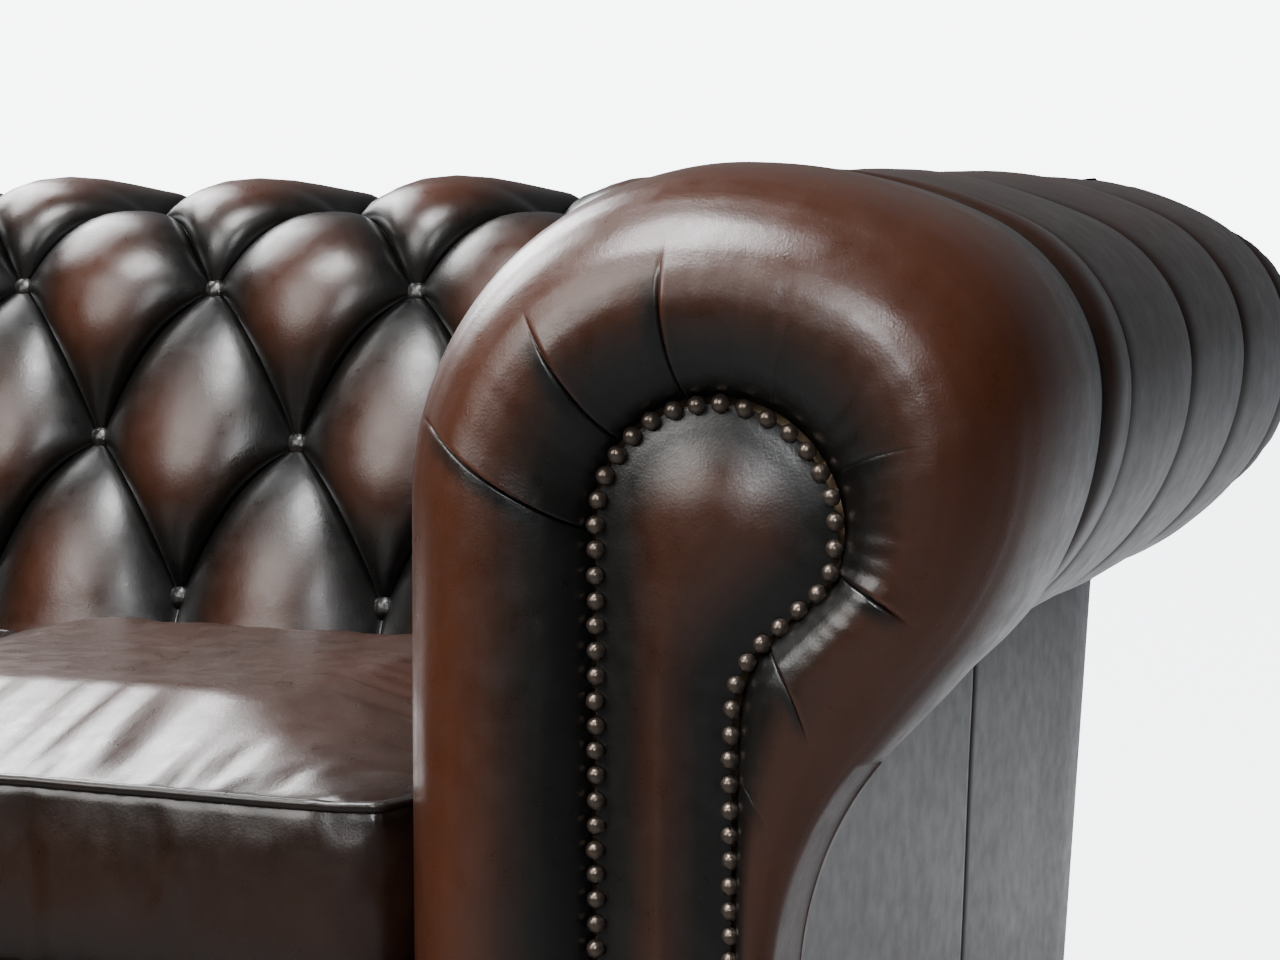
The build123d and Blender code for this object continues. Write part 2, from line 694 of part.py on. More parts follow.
def under_parts():
    """Feet, foot bolts and blocks, dust covers and the bolts between sections."""
    bun, bolt, wood, hole = foot_hardware()
    right, corner, left = foot_places()
    places = right + corner + left
    nodes = {
        "bun_feet": group([Pos(*p, 0) * bun for p in places]),
        "foot_bolts": group([Pos(*p, 0) * bolt for p in places]),
        "foot_blocks": group([Pos(*p, 0) * wood for p in places]),
    }
    outer = arm_x + arm_core_outer
    back = back_rail_setback + rail_thickness
    low, high = frame_bottom - dust_cover_thickness, frame_bottom
    wing = depth_block(section_x, outer, front_rail_setback, back, low, high) - [Pos(*p, 0) * hole for p in right]
    square = block(-front_y - back, section_x, front_y, front_y + back, low, high)
    square = square - [Pos(*p, 0) * hole for p in corner]
    nodes["dust_covers"] = group([wing, square, mirrored(wing)])
    bolts, nuts = join_bolts()
    nodes["join_bolts"] = group([*bolts, *[mirrored(b) for b in bolts]])
    nodes["join_nuts"] = group([*nuts, *[mirrored(n) for n in nuts]])
    return nodes


def main():
    os.makedirs("parts", exist_ok=True)
    nodes = {}
    for name, shape in right_wing().items():
        if name in ("corner_back_buttons", "corner_outside_back"):
            nodes[name.rstrip("s") + "s"] = group([shape, mirrored(shape)])
        elif name == "corner_back_pad":
            nodes[name + "_right"] = shape
            nodes[name + "_left"] = mirrored(shape)
        else:
            nodes["right_" + name] = shape
            nodes["left_" + name] = mirrored(shape)
    nodes.update(corner_section())
    nodes.update(cushions())
    nodes.update(under_parts())
    for name, shape in nodes.items():
        export_step(shape, f"parts/{name}.step")
    print(len(nodes), "nodes")


main()
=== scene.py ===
from math import cos, pi, radians, sin, tan

import bpy
import numpy as np
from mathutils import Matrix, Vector


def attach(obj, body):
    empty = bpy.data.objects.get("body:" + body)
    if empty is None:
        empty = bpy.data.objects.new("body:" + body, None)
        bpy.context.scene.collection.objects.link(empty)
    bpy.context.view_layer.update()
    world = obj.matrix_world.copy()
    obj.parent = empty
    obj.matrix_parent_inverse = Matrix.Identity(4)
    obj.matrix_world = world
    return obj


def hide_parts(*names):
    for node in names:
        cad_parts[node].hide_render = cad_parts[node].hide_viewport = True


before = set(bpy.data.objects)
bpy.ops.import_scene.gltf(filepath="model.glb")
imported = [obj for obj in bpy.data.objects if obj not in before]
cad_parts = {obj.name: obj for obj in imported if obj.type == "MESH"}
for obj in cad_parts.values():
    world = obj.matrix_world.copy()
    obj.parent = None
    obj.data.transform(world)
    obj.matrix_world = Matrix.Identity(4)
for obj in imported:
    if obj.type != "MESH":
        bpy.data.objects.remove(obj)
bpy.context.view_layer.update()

# Sizes in millimetres, as in the CAD part
HALF = 1250.0
SOFA_HEIGHT = 800.0
DECK = 300.0
FLOOR = 94.0
SEAT_DEPTH = 577.0
RAKE = radians(15)
ROLL = 120.0
PAD_BOTTOM = 252.0
BACK_CORE = 225.0
ROLL_RISE = (SOFA_HEIGHT - DECK - ROLL * (1 - sin(RAKE))) / cos(RAKE)
REAR = SEAT_DEPTH + ROLL * (1 + cos(RAKE)) + ROLL_RISE * sin(RAKE)
FRONT_Y = HALF - REAR
ARM_IN, ARM_OUT = 200.0, 182.0
SHOULDER, CROWN, CROWN_TURN = 190.0, 300.0, 25.0
ARM_CREST = SHOULDER - ARM_IN
ARM_SIDE = 22.0
ARM_X = HALF - ARM_OUT
SEAT_END = ARM_X - ARM_IN
SECTION = -FRONT_Y
MITRE_DEPTH = SEAT_DEPTH + 150.0 * tan(RAKE)
MITRE_SLOPE = (REAR - MITRE_DEPTH) / (HALF - SEAT_END)
ROW_PITCH = 134.0
FIRST_ROW = 460.0
SIDES = (("right", False), ("left", True))


def smooth(x):
    x = np.clip(x, 0, 1)
    return x * x * (3 - 2 * x)


# Curves in a plane

class Line2:
    """A plane line of straights and arcs, sampled densely and read by its length."""

    def __init__(self, start, heading):
        self.pts = [np.array([start], float)]
        self.heading = radians(heading)

    def line(self, length):
        p = self.pts[-1][-1]
        t = np.linspace(0, length, max(2, int(length) + 1))[1:, None]
        self.pts.append(p + t * [cos(self.heading), sin(self.heading)])
        return self

    def arc(self, radius, turn):
        p = self.pts[-1][-1]
        way = np.sign(turn)
        a0 = self.heading
        centre = p + way * radius * np.array([-sin(a0), cos(a0)])
        steps = max(8, int(abs(radians(turn)) * radius) + 1)
        a = a0 + np.linspace(0, radians(turn), steps)[1:]
        self.pts.append(centre + way * radius * np.stack([np.sin(a), -np.cos(a)], 1))
        self.heading = a0 + radians(turn)
        return self

    def done(self):
        p = np.concatenate(self.pts)
        step = np.hypot(*np.diff(p, axis=0).T)
        self.v = np.concatenate([[0], np.cumsum(step)])
        self.p = p
        t = np.gradient(p, self.v, axis=0)
        t /= np.hypot(*t.T)[:, None]
        self.t = t
        self.length = self.v[-1]
        return self

    def at(self, v):
        return np.stack([np.interp(v, self.v, self.p[:, i]) for i in (0, 1)], -1)

    def way(self, v):
        t = np.stack([np.interp(v, self.v, self.t[:, i]) for i in (0, 1)], -1)
        return t / np.linalg.norm(t, axis=-1, keepdims=True)

    def out(self, v):
        t = self.way(v)
        return np.stack([-t[..., 1], t[..., 0]], -1)


def arm_line(foot, belly, turn):
    """The scroll arm's outline from its foot on the seat side, over the crest and under the roll."""
    crown_end = ARM_CREST + CROWN * sin(radians(CROWN_TURN))
    brow = (ARM_OUT - crown_end) / (1 - sin(radians(CROWN_TURN)))
    line = Line2((-ARM_IN, foot), 90).line(SOFA_HEIGHT - SHOULDER - foot).arc(SHOULDER, -90)
    return line.arc(CROWN, -CROWN_TURN).arc(brow, CROWN_TURN - 90).arc(belly, -turn)


arm_roll = arm_line(PAD_BOTTOM, 170, 70)
end, head = arm_roll.pts[-1][-1], arm_roll.heading
arm_roll.line((ARM_SIDE - end[0]) / cos(head)).done()
slope_bottom = (PAD_BOTTOM - DECK) / cos(RAKE)
back_roll = Line2((0, slope_bottom), 90).line(ROLL_RISE - slope_bottom)
back_roll.arc(ROLL, -90).arc(ROLL, -90).arc(ROLL, -np.degrees(np.arccos((BACK_CORE - ROLL) / ROLL))).done()


def back_to_world(n, s):
    """Depth and height of a place in the raked back's own plane."""
    return SEAT_DEPTH + n * cos(RAKE) + s * sin(RAKE), DECK + s * cos(RAKE) - n * sin(RAKE)


# Mesh making

def mirrored_points(points):
    out = points.copy()
    out[:, 0], out[:, 1] = -points[:, 1], -points[:, 0]
    return out


def make(name, points, faces, mat, attrs=None, mirror=False):
    """A smooth mesh from millimetre points; mirror gives the left wing's copy."""
    pts = np.asarray(points, float)
    if mirror:
        pts = mirrored_points(pts)
        faces = [f[::-1] for f in faces]
    mesh = bpy.data.meshes.new(name)
    mesh.from_pydata((pts * 0.001).tolist(), [], [list(map(int, f)) for f in faces])
    for key, values in (attrs or {}).items():
        layer = mesh.attributes.new(key, "FLOAT", "POINT")
        layer.data.foreach_set("value", np.asarray(values, np.float32).ravel())
    mesh.validate()
    mesh.shade_smooth()
    obj = bpy.data.objects.new(name, mesh)
    bpy.context.scene.collection.objects.link(obj)
    mesh.materials.append(mat)
    return obj


def grid_faces(rows, cols, start=0, closed=False):
    faces = []
    for r in range(rows - 1):
        for c in range(cols if closed else cols - 1):
            a = start + r * cols + c
            b = start + r * cols + (c + 1) % cols
            faces.append((a, b, b + cols, a + cols))
    return faces


class Patches:
    """Grid patches in (u, v), joined where their points agree."""

    def __init__(self):
        self.uv, self.faces, self.count = [], [], 0

    def add(self, u, v):
        rows, cols = u.shape
        self.uv.append(np.stack([u.ravel(), v.ravel()], 1))
        self.faces += grid_faces(rows, cols, self.count)
        self.count += rows * cols

    def joined(self):
        uv = np.concatenate(self.uv)
        rounded = np.round(uv, 2)
        _, first, inverse = np.unique(rounded, axis=0, return_index=True, return_inverse=True)
        inverse = inverse.ravel()
        faces = []
        for f in self.faces:
            g = [inverse[i] for i in f]
            g = [a for k, a in enumerate(g) if a != g[k - 1]]
            if len(set(g)) >= 3 and len(set(g)) == len(g):
                faces.append(g)
        return uv[first], faces


def crowd(n, power=1.6):
    """Steps from 0 to 1 that crowd towards both ends."""
    t = np.linspace(-1, 1, n)
    return 0.5 + 0.5 * np.sign(t) * (1 - (1 - np.abs(t)) ** power)


FOLD_STEPS = np.array([0, 0.004, 0.009, 0.016, 0.026, 0.04, 0.06, 0.09, 0.13, 0.185, 0.26, 0.36, 0.5])


def tuft_patches(rows, width, first_u, lo, hi, bottom, top, band=17):
    """Meshing that follows every fold: triangles between rows, strips beyond them."""
    patches = Patches()
    c = np.concatenate([FOLD_STEPS, 1 - FOLD_STEPS[-2::-1]])
    t = crowd(band, 1.3)
    span = (lo(bottom), hi(bottom), lo(top), hi(top))
    i0 = int(np.floor((min(span) - first_u) / width)) - 3
    i1 = int(np.ceil((max(span) - first_u) / width)) + 3
    pitch = rows[1] - rows[0]

    def put(u, v):
        low, high = lo(v), hi(v)
        clamped = np.clip(u, low, high)
        if np.ptp(clamped) > 0.5:
            patches.add(clamped, v)

    for k in range(len(rows) - 1):
        shift = first_u + (width / 2 if k % 2 else 0)
        for i in range(i0, i1):
            mid = shift + (i + 0.5) * width
            tt, cc = np.meshgrid(t, c, indexing="ij")
            put(mid + (cc - 0.5) * width * (1 - tt), rows[k] + tt * pitch)
            mid = shift + i * width
            put(mid + (cc - 0.5) * width * tt, rows[k] + tt * pitch)
    last = len(rows) - 1
    shift = first_u + (width / 2 if last % 2 else 0)
    steps = np.linspace(0, 1, int((top - rows[-1]) / 9) + 2)
    for i in range(i0, i1):
        tt, cc = np.meshgrid(steps, c, indexing="ij")
        put(shift + (i + cc) * width, rows[-1] + tt * (top - rows[-1]))
    steps = np.linspace(0, 1, int((rows[0] - bottom) / 20) + 2)
    for i in range(i0, i1):
        tt, cc = np.meshgrid(steps, c, indexing="ij")
        put(first_u + (i + cc) * width, bottom + tt * (rows[0] - bottom))
    return patches.joined()


PILLOW, RIDGE, SINK = 35.0, 9.0, 40.0
FULL = PILLOW + RIDGE
SAG, BOW = 17.0, 24.0
STRAIGHTEN, PLEAT_DEPTH, PLEAT_WIDTH = 75.0, 15.0, 4.2
EDGE_DIP, TUCK_DIP, BUTTON_SINK = 16.0, 6.0, 38.0


def tuft_height(u, v, rows, width, first_u, faint=-9999.0):
    """Height over the button floor, share of straight pleat, and how far the folds bow upwards."""
    pitch = rows[1] - rows[0]
    x = (u - first_u) / width
    y = np.clip(v, rows[0], rows[-1]) - rows[0]
    fa = np.abs(np.sin(pi * (x + y / (2 * pitch))))
    fb = np.abs(np.sin(pi * (x - y / (2 * pitch))))
    h = PILLOW * (fa * fb) ** 0.42 + RIDGE * (fa + fb - fa * fb)
    beyond = np.maximum(v - rows[-1], rows[0] - v)
    t = smooth(beyond / STRAIGHTEN)
    last = (len(rows) - 1) / 2
    fu = np.where(v > rows[-1], np.abs(np.sin(pi * (x - last))), np.abs(np.sin(pi * x)))
    gap = np.arcsin(np.clip(fu, 0, 1)) * width / pi
    depth = PLEAT_DEPTH * (1 - 0.7 * np.exp(-((u - faint) / 60) ** 2))
    pleat = FULL - 3.5 * (1 - smooth(gap / 70)) - depth * np.exp(-gap / PLEAT_WIDTH)
    bow = (fa * (1 - fb) + fb * (1 - fa)) * (1 - smooth(beyond / 30))
    return h * (1 - t) + pleat * t, t, bow


# Leather tone from the height over the button floor: light on proud parts, near black in folds and hollows,
# partly the antique two-tone finish and partly painted shade; a little darker where the leather runs in
# straight pleats.
def tone_of(h, t):
    return np.clip((h - 12) / (FULL - 12), 0, 1) ** 1.5 * (1 - 0.26 * t)


# Materials

def material(name):
    m = bpy.data.materials.new(name)
    m.use_nodes = True
    nodes = m.node_tree.nodes
    return m, nodes, m.node_tree.links, nodes["Principled BSDF"]


def ramp(nodes, stops):
    r = nodes.new("ShaderNodeValToRGB")
    for k, (at, colour) in enumerate(stops):
        e = r.color_ramp.elements[k] if k < 2 else r.color_ramp.elements.new(at)
        e.position = at
        e.color = (*colour, 1)
    return r


def noise(nodes, links, scale, detail=4.0, rough=0.55, vector=None):
    n = nodes.new("ShaderNodeTexNoise")
    n.inputs["Scale"].default_value = scale
    n.inputs["Detail"].default_value = detail
    n.inputs["Roughness"].default_value = rough
    if vector is not None:
        links.new(vector, n.inputs["Vector"])
    return n


def maths(nodes, links, kind, a, b):
    n = nodes.new("ShaderNodeMath")
    n.operation = kind
    for k, x in enumerate((a, b)):
        if isinstance(x, (int, float)):
            n.inputs[k].default_value = x
        else:
            links.new(x, n.inputs[k])
    return n.outputs[0]


def leather(name, stops, grain=0.10, wrinkle=0.14, rough=(0.26, 0.40)):
    """Antiqued leather: colour from the tone attribute, light where the surface is proud and dark in its
    hollows (partly the antique finish, partly painted shade), with wear in patches and a fine grain.
    """
    m, nodes, links, bsdf = material(name)
    where = nodes.new("ShaderNodeTexCoord").outputs["Object"]
    patch = noise(nodes, links, 9.0, 5.0, 0.6, where)
    fine = noise(nodes, links, 55.0, 4.0, 0.6, where)
    mix = maths(nodes, links, "MULTIPLY_ADD", patch.outputs["Fac"], 0.34)
    mix.node.inputs[2].default_value = -0.17
    tone = nodes.new("ShaderNodeAttribute")
    tone.attribute_name = "tone"
    value = maths(nodes, links, "ADD", tone.outputs["Fac"], mix)
    speck = maths(nodes, links, "MULTIPLY_ADD", fine.outputs["Fac"], 0.06)
    speck.node.inputs[2].default_value = -0.03
    value = maths(nodes, links, "ADD", value, speck)
    colours = ramp(nodes, stops)
    links.new(value, colours.inputs["Fac"])
    links.new(colours.outputs["Color"], bsdf.inputs["Base Color"])
    spread = nodes.new("ShaderNodeMapRange")
    links.new(fine.outputs["Fac"], spread.inputs["Value"])
    spread.inputs["From Min"].default_value = 0.3
    spread.inputs["From Max"].default_value = 0.7
    spread.inputs["To Min"].default_value = rough[0]
    spread.inputs["To Max"].default_value = rough[1]
    links.new(spread.outputs["Result"], bsdf.inputs["Roughness"])
    bsdf.inputs["Specular IOR Level"].default_value = 0.42
    bsdf.inputs["Coat Weight"].default_value = 0.20
    bsdf.inputs["Coat Roughness"].default_value = 0.27
    pore = nodes.new("ShaderNodeTexVoronoi")
    pore.inputs["Scale"].default_value = 620.0
    links.new(where, pore.inputs["Vector"])
    first = nodes.new("ShaderNodeBump")
    first.inputs["Strength"].default_value = grain
    first.inputs["Distance"].default_value = 0.0006
    links.new(pore.outputs["Distance"], first.inputs["Height"])
    crinkle = noise(nodes, links, 260.0, 5.0, 0.6, where)
    second = nodes.new("ShaderNodeBump")
    second.inputs["Strength"].default_value = wrinkle
    second.inputs["Distance"].default_value = 0.0010
    links.new(crinkle.outputs["Fac"], second.inputs["Height"])
    links.new(first.outputs["Normal"], second.inputs["Normal"])
    links.new(second.outputs["Normal"], bsdf.inputs["Normal"])
    return m


# Tone ramp: near black at 0 for the painted shade and antique dark in the hollows, reddish brown at 1 on
# proud leather.
STOPS = [
    (0.0, (0.0016, 0.0015, 0.0013)),
    (0.30, (0.0040, 0.0031, 0.0022)),
    (0.64, (0.0165, 0.0056, 0.0024)),
    (1.0, (0.0410, 0.0112, 0.0038)),
]
hide = leather("antique leather", STOPS)
smooth_hide = leather("smooth antique leather", STOPS, grain=0.04, wrinkle=0.035, rough=(0.30, 0.42))


def plain(name, colour, rough, metal=0.0, bump=0.0, scale=200.0):
    m, nodes, links, bsdf = material(name)
    bsdf.inputs["Base Color"].default_value = (*colour, 1)
    bsdf.inputs["Roughness"].default_value = rough
    bsdf.inputs["Metallic"].default_value = metal
    if bump:
        n = noise(nodes, links, scale, 4.0, 0.6, nodes.new("ShaderNodeTexCoord").outputs["Object"])
        b = nodes.new("ShaderNodeBump")
        b.inputs["Strength"].default_value = bump
        b.inputs["Distance"].default_value = 0.001
        links.new(n.outputs["Fac"], b.inputs["Height"])
        links.new(b.outputs["Normal"], bsdf.inputs["Normal"])
    return m


stud_metal = plain("antique stud", (0.105, 0.082, 0.066), 0.30, 0.85, 0.25, 420.0)
steel = plain("zinc steel", (0.42, 0.42, 0.43), 0.35, 0.9)
lining = plain("black lining", (0.018, 0.018, 0.019), 0.9, 0.0, 0.3, 900.0)


def timber(name, dark, pale, rough):
    m, nodes, links, bsdf = material(name)
    place = nodes.new("ShaderNodeMapping")
    links.new(nodes.new("ShaderNodeTexCoord").outputs["Object"], place.inputs["Vector"])
    place.inputs["Scale"].default_value = (30, 30, 3)
    n = noise(nodes, links, 2.5, 6.0, 0.6, place.outputs["Vector"])
    r = ramp(nodes, [(0.3, dark), (0.75, pale)])
    links.new(n.outputs["Fac"], r.inputs["Fac"])
    links.new(r.outputs["Color"], bsdf.inputs["Base Color"])
    bsdf.inputs["Roughness"].default_value = rough
    return m


frame_wood = timber("frame timber", (0.30, 0.19, 0.10), (0.50, 0.35, 0.20), 0.7)
foot_wood = timber("dark foot timber", (0.012, 0.006, 0.004), (0.055, 0.024, 0.014), 0.28)


def ride(obj, *nodes, body="sofa", fill=None):
    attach(obj, body)
    if nodes:
        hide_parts(*nodes)
    return obj


# The buttoned back, from the outside corner to the arm's mitre

back_first = slope_bottom * -1 + (FIRST_ROW - DECK) / cos(RAKE)
back_rows = [back_first + ROW_PITCH * k for k in range(4)]
BACK_W, BACK_OVERLAP = 190.0, 7.0
back_u0 = SEAT_END - 130.0


def back_depth(v):
    p = back_roll.at(v)
    return back_to_world(p[..., 0], p[..., 1])[0]


CORNER_RUN_ON = 16.0


def back_corner(v):
    return -(FRONT_Y + back_depth(v))


def back_lo(v):
    return back_corner(v) - CORNER_RUN_ON


def back_hi(v):
    return SEAT_END + (back_depth(v) - MITRE_DEPTH) / MITRE_SLOPE


SEAM_X, SEAM_Z, SEAM_SINK = 32.0, 672.0, 8.0


def polar(x, z):
    return np.arctan2(z - SEAM_Z, x - SEAM_X), np.hypot(x - SEAM_X, z - SEAM_Z)


def mitre_seam():
    """Radius of the seam by its angle, just inside both rolls where the mitre cuts them."""
    n, rise = back_roll.p.T
    depth, z = back_to_world(n, rise)
    across = (depth - MITRE_DEPTH) / MITRE_SLOPE - ARM_IN
    angles = np.radians(np.arange(-80, 131, 1.0))
    found = []
    for px, pz in ((across, z), (arm_roll.p[:, 0], arm_roll.p[:, 1])):
        a, r = polar(px, pz)
        order = np.argsort(a)
        found.append(np.interp(angles, a[order], r[order]))
    return angles, np.minimum(*found) - SEAM_SINK


seam_angles, seam_radii = mitre_seam()


def on_seam(x, z):
    """The seam's place at the same angle as a place on either roll's end."""
    a = polar(x, z)[0]
    r = np.interp(a, seam_angles, seam_radii)
    sx, sz = SEAM_X + r * np.cos(a), SEAM_Z + r * np.sin(a)
    return np.stack([ARM_X + sx, FRONT_Y + MITRE_DEPTH + (sx + ARM_IN) * MITRE_SLOPE, sz], 1)


def to_seam(points, x, z, gap, past):
    """Draws the last 45 mm of a roll down to the seam."""
    share = ((1 - smooth(gap / 45)) * past * smooth((polar(x, z)[0] + 1.4) / 0.3))[:, None]
    return points * (1 - share) + on_seam(x, z) * share


def lumpy(u, v, seed):
    """Slow unevenness of stuffing, a couple of millimetres."""
    k = np.random.default_rng(seed).uniform(-1, 1, (6, 4))
    out = np.zeros_like(u)
    for a, b, c, d in k:
        out += np.sin(u * (0.008 + 0.022 * abs(a)) + v * 0.025 * b + 9 * c) * d
    return out * 0.8


def build_back():
    uv, faces = tuft_patches(back_rows, BACK_W, back_u0, back_lo, back_hi, 0.0, back_roll.length)
    u, v = uv.T
    h, t, bow = tuft_height(u, v, back_rows, BACK_W, back_u0)
    share = np.clip(h / FULL, 0, 1)
    past = smooth((v - back_rows[-1] - 40) / 60)
    gap = back_hi(v) - u
    edge = smooth((u - back_corner(v)) / 40) * (1 - past + past * smooth(gap / 40))
    h = h * edge + (FULL - EDGE_DIP) * (1 - edge)
    tuck = smooth((v - back_roll.length + 25) / 25)
    h = h + lumpy(u, v, 3) * share * edge
    v2 = np.clip(v + (BOW * bow - SAG * share ** 0.8) * (1 - t) * edge, 0, back_roll.length)
    u2 = u + BACK_OVERLAP * share * t * edge * np.where(v > back_rows[-1], 1, 0)
    p = back_roll.at(v2) + back_roll.out(v2) * (h - SINK - TUCK_DIP * tuck)[:, None]
    d, z = back_to_world(p[:, 0], p[:, 1])
    pts = np.stack([np.maximum(u2, -(FRONT_Y + d)), FRONT_Y + d, z], 1)
    base = back_roll.at(v)
    base_d, base_z = back_to_world(base[:, 0], base[:, 1])
    near_top = smooth((v - back_rows[-1] - 15) / 16)
    pts = to_seam(pts, (base_d - MITRE_DEPTH) / MITRE_SLOPE - ARM_IN, base_z, gap, near_top)
    # Painted shade: the tone darkens in the folds and towards the corner and mitre edges (partly the antique
    # finish), and where the leather tucks away at the end of the roll.
    tone = tone_of(h, t) * (1 - 0.5 * tuck)
    return pts, faces, tone


pts, faces, tone = build_back()
for side, flip in SIDES:
    obj = make(side + "_back_upholstery", pts, faces, hide, {"tone": tone}, flip)
    ride(obj, side + "_back_pad", "corner_back_pad_" + side, fill=0.8)

# The arm: buttoned inside and pleated roll

ARM_W, ARM_OVERLAP, ARM_INNER = 200.0, 9.0, 24.0
arm_first = FIRST_ROW - PAD_BOTTOM
arm_rows = [arm_first + ROW_PITCH * k for k in range(4)]
arm_u0 = 139.0
FIRST_PLEAT, SEAM_DIP, SEAM_WIDTH = 160.0, 14.0, 4.0
FAINT_PLEAT = arm_u0 + ARM_W / 2
rising = slice(0, 650)
crest_v = float(np.interp(ARM_CREST, arm_roll.p[rising, 0], arm_roll.v[rising]))


def arm_hi(v):
    x = arm_roll.at(v)[..., 0]
    z = arm_roll.at(v)[..., 1]
    mitre = MITRE_DEPTH + (x + ARM_IN) * MITRE_SLOPE
    top = back_to_world(ROLL, ROLL_RISE)
    over = np.clip((z - top[1]) / ROLL, 0, 1)
    on_roll = top[0] - ROLL * np.sqrt(1 - over ** 2)
    on_slope = SEAT_DEPTH + (z - DECK) * tan(RAKE)
    met = np.maximum(np.where(z > DECK + ROLL_RISE * cos(RAKE), on_roll, on_slope) + 14, mitre)
    return np.where(v < crest_v - 30, met, mitre)


def arm_lo(v):
    return np.where(v > arm_rows[-1] + 1, FIRST_PLEAT, ARM_INNER) + 0 * v


def build_arm():
    uv, faces = tuft_patches(arm_rows, ARM_W, arm_u0, arm_lo, arm_hi, 0.0, arm_roll.length)
    u, v = uv.T
    h, t, bow = tuft_height(u, v, arm_rows, ARM_W, arm_u0, FAINT_PLEAT)
    share = np.clip(h / FULL, 0, 1)
    past = smooth((v - arm_rows[-1] - 20) / 60)
    gap = arm_hi(v) - u
    edge = 1 - past + past * smooth(gap / 45)
    inner = np.where(v < arm_rows[-1] + 5, smooth((u - ARM_INNER) / 45), 1)
    h = (h * edge + (FULL - EDGE_DIP) * (1 - edge)) * inner + (FULL - 24) * (1 - inner)
    on_roll = smooth((v - arm_rows[-1] - 20) / 120)
    seam = SEAM_DIP * np.exp(-(u - FIRST_PLEAT) / SEAM_WIDTH) * np.where(u < FIRST_PLEAT, 0, on_roll)
    h = h + lumpy(u, v, 5) * share * edge - seam
    tuck = smooth((v - arm_roll.length + 40) / 40)
    v2 = np.clip(v + (BOW * bow - SAG * share ** 0.8) * (1 - t) * edge * inner, 0, arm_roll.length)
    u2 = u + ARM_OVERLAP * share * t * edge * np.where(v > arm_rows[-1], 1, 0)
    p = arm_roll.at(v2) + arm_roll.out(v2) * (h - SINK - TUCK_DIP * tuck)[:, None]
    pts = np.stack([ARM_X + p[:, 0], FRONT_Y + u2, p[:, 1]], 1)
    base = arm_roll.at(v)
    pts = to_seam(pts, base[:, 0], base[:, 1], gap, smooth((v - crest_v + 30) / 16))
    # Painted shade: the tone darkens in the folds and the pleat seam (partly the antique finish), and goes
    # to black at the inside bottom by the seat and where the leather tucks under the roll's end; a little
    # darker over the roll.
    tone = tone_of(h * inner, t) * (1 - 0.12 * on_roll) * (1 - 0.6 * tuck)
    return pts, faces, tone


pts, faces, tone = build_arm()
for side, flip in SIDES:
    obj = make(side + "_arm_upholstery", pts, [f[::-1] for f in faces], smooth_hide, {"tone": tone}, flip)
    ride(obj, side + "_arm_pad", fill=0.8)

# The arm front: pleated border, domed facing and studs

def stud_curve():
    line = Line2((-71, FLOOR), 90).line(601 - FLOOR).arc(71, -180)
    tail = [(70, 590), (67.5, 579), (63, 571), (56.8, 565), (47, 556.5), (37, 547.5)]
    tail += [(28, 539), (20.5, 530.5), (15, 521), (12, 511), (10.4, 500), (10, 488), (10, 470)]
    tail += [(10, z) for z in range(450, int(FLOOR) - 1, -20)] + [(10, FLOOR)]
    line.pts.append(np.array(tail, float))
    return line.done()


studs = stud_curve()
front = arm_line(FLOOR, 209, 40).line(70)
end_x = front.pts[-1][-1][0]
front.arc((end_x - 34) / (1 - cos(radians(40))), 40)
front.line(front.pts[-1][-1][1] - FLOOR).done()


def near(curve, x, z):
    """Length along a curve to its point nearest a place."""
    return curve.v[np.argmin((curve.p[:, 0] - x) ** 2 + (curve.p[:, 1] - z) ** 2)]


# Places on the stud line and the places on the outline that lie across from them
KNOTS = [
    ((-71, FLOOR), (-200, FLOOR)), ((-71, 560), (-200, 575)), ((-62, 636), (-165, 720)),
    ((0, 672), (-10, 800)), ((50, 651), (118, 771)), ((71, 601), (182, 668)),
    ((57, 565), (166, 590)), ((24, 534), (128, 530)), ((11, 505), (84, 480)),
    ((10, 440), (50, 415)), ((10, 370), (34, 340)), ((10, FLOOR), (34, FLOOR)),
]


def border_grid():
    """Steps along the stud line and the matching steps along the outline."""
    knots_in = [near(studs, *a) for a, b in KNOTS]
    knots_out = [near(front, *b) for a, b in KNOTS]
    straight, far_side = np.linspace(0, 420, 60)[:-1], np.linspace(1010, studs.length, 60)
    s = np.concatenate([straight, np.arange(420, 1010, 1.8), far_side])
    so = np.interp(s, knots_in, knots_out)
    kernel = np.hanning(41)
    kernel /= kernel.sum()
    so = np.convolve(np.pad(so, 20, mode="edge"), kernel, mode="valid")
    so[0], so[-1] = 0, front.length
    return s, np.maximum.accumulate(so)


# Pleats of the border: stud-line end, far end, height of the fold, which side lies on top, reach
CREASES = [
    ((-76, 597), (-149, 639), 5.5, 1, 0.92), ((-64, 654), (-102, 717), 3.6, 1, 0.68),
    ((-17, 672), (-24, 750), 3.2, 1, 0.70), ((33, 666), (56, 722), 0.4, -1, 0.50),
    ((66, 632), (104, 650), 1.2, -1, 0.50), ((66, 577), (104, 566), 4.0, -1, 0.74),
    ((30, 540), (42, 499), 4.0, -1, 0.66), ((11, 470), (24, 440), 1.2, -1, 0.60),
]
# The border's section from stud line to outline, and its depth before or behind the arm front
PROFILE_W = [0, 0.045, 0.10, 0.17, 0.25, 0.35, 0.45, 0.56, 0.67, 0.77, 0.86, 0.92, 0.965, 0.99, 1.0]
PROFILE_Y = [5, -3, -9.5, -15.5, -19.5, -23, -24, -22, -16.5, -6.5, 8, 21, 38, 57, 80]
# Border tone across the section: near black by the stud line, brown from the middle out; painted shade in
# the hollow by the studs, partly the antique finish.
TONE_W, TONE = [0, 0.10, 0.22, 0.42, 0.62, 0.85, 1], [0.0, 0.10, 0.30, 0.72, 0.92, 0.90, 0.85]
BORDER_W, STUD_GAP, RIM_AT, LEAN_AT = 116.0, 4.0, 0.86, 0.6
RIPPLE, SWELL, BULGE, INNER_SINK = 0.085, 1.6, 6.0, 42.0
STUD_PITCH, FACING_RISE, FACING_SET = 14.2, 14.0, 2.0


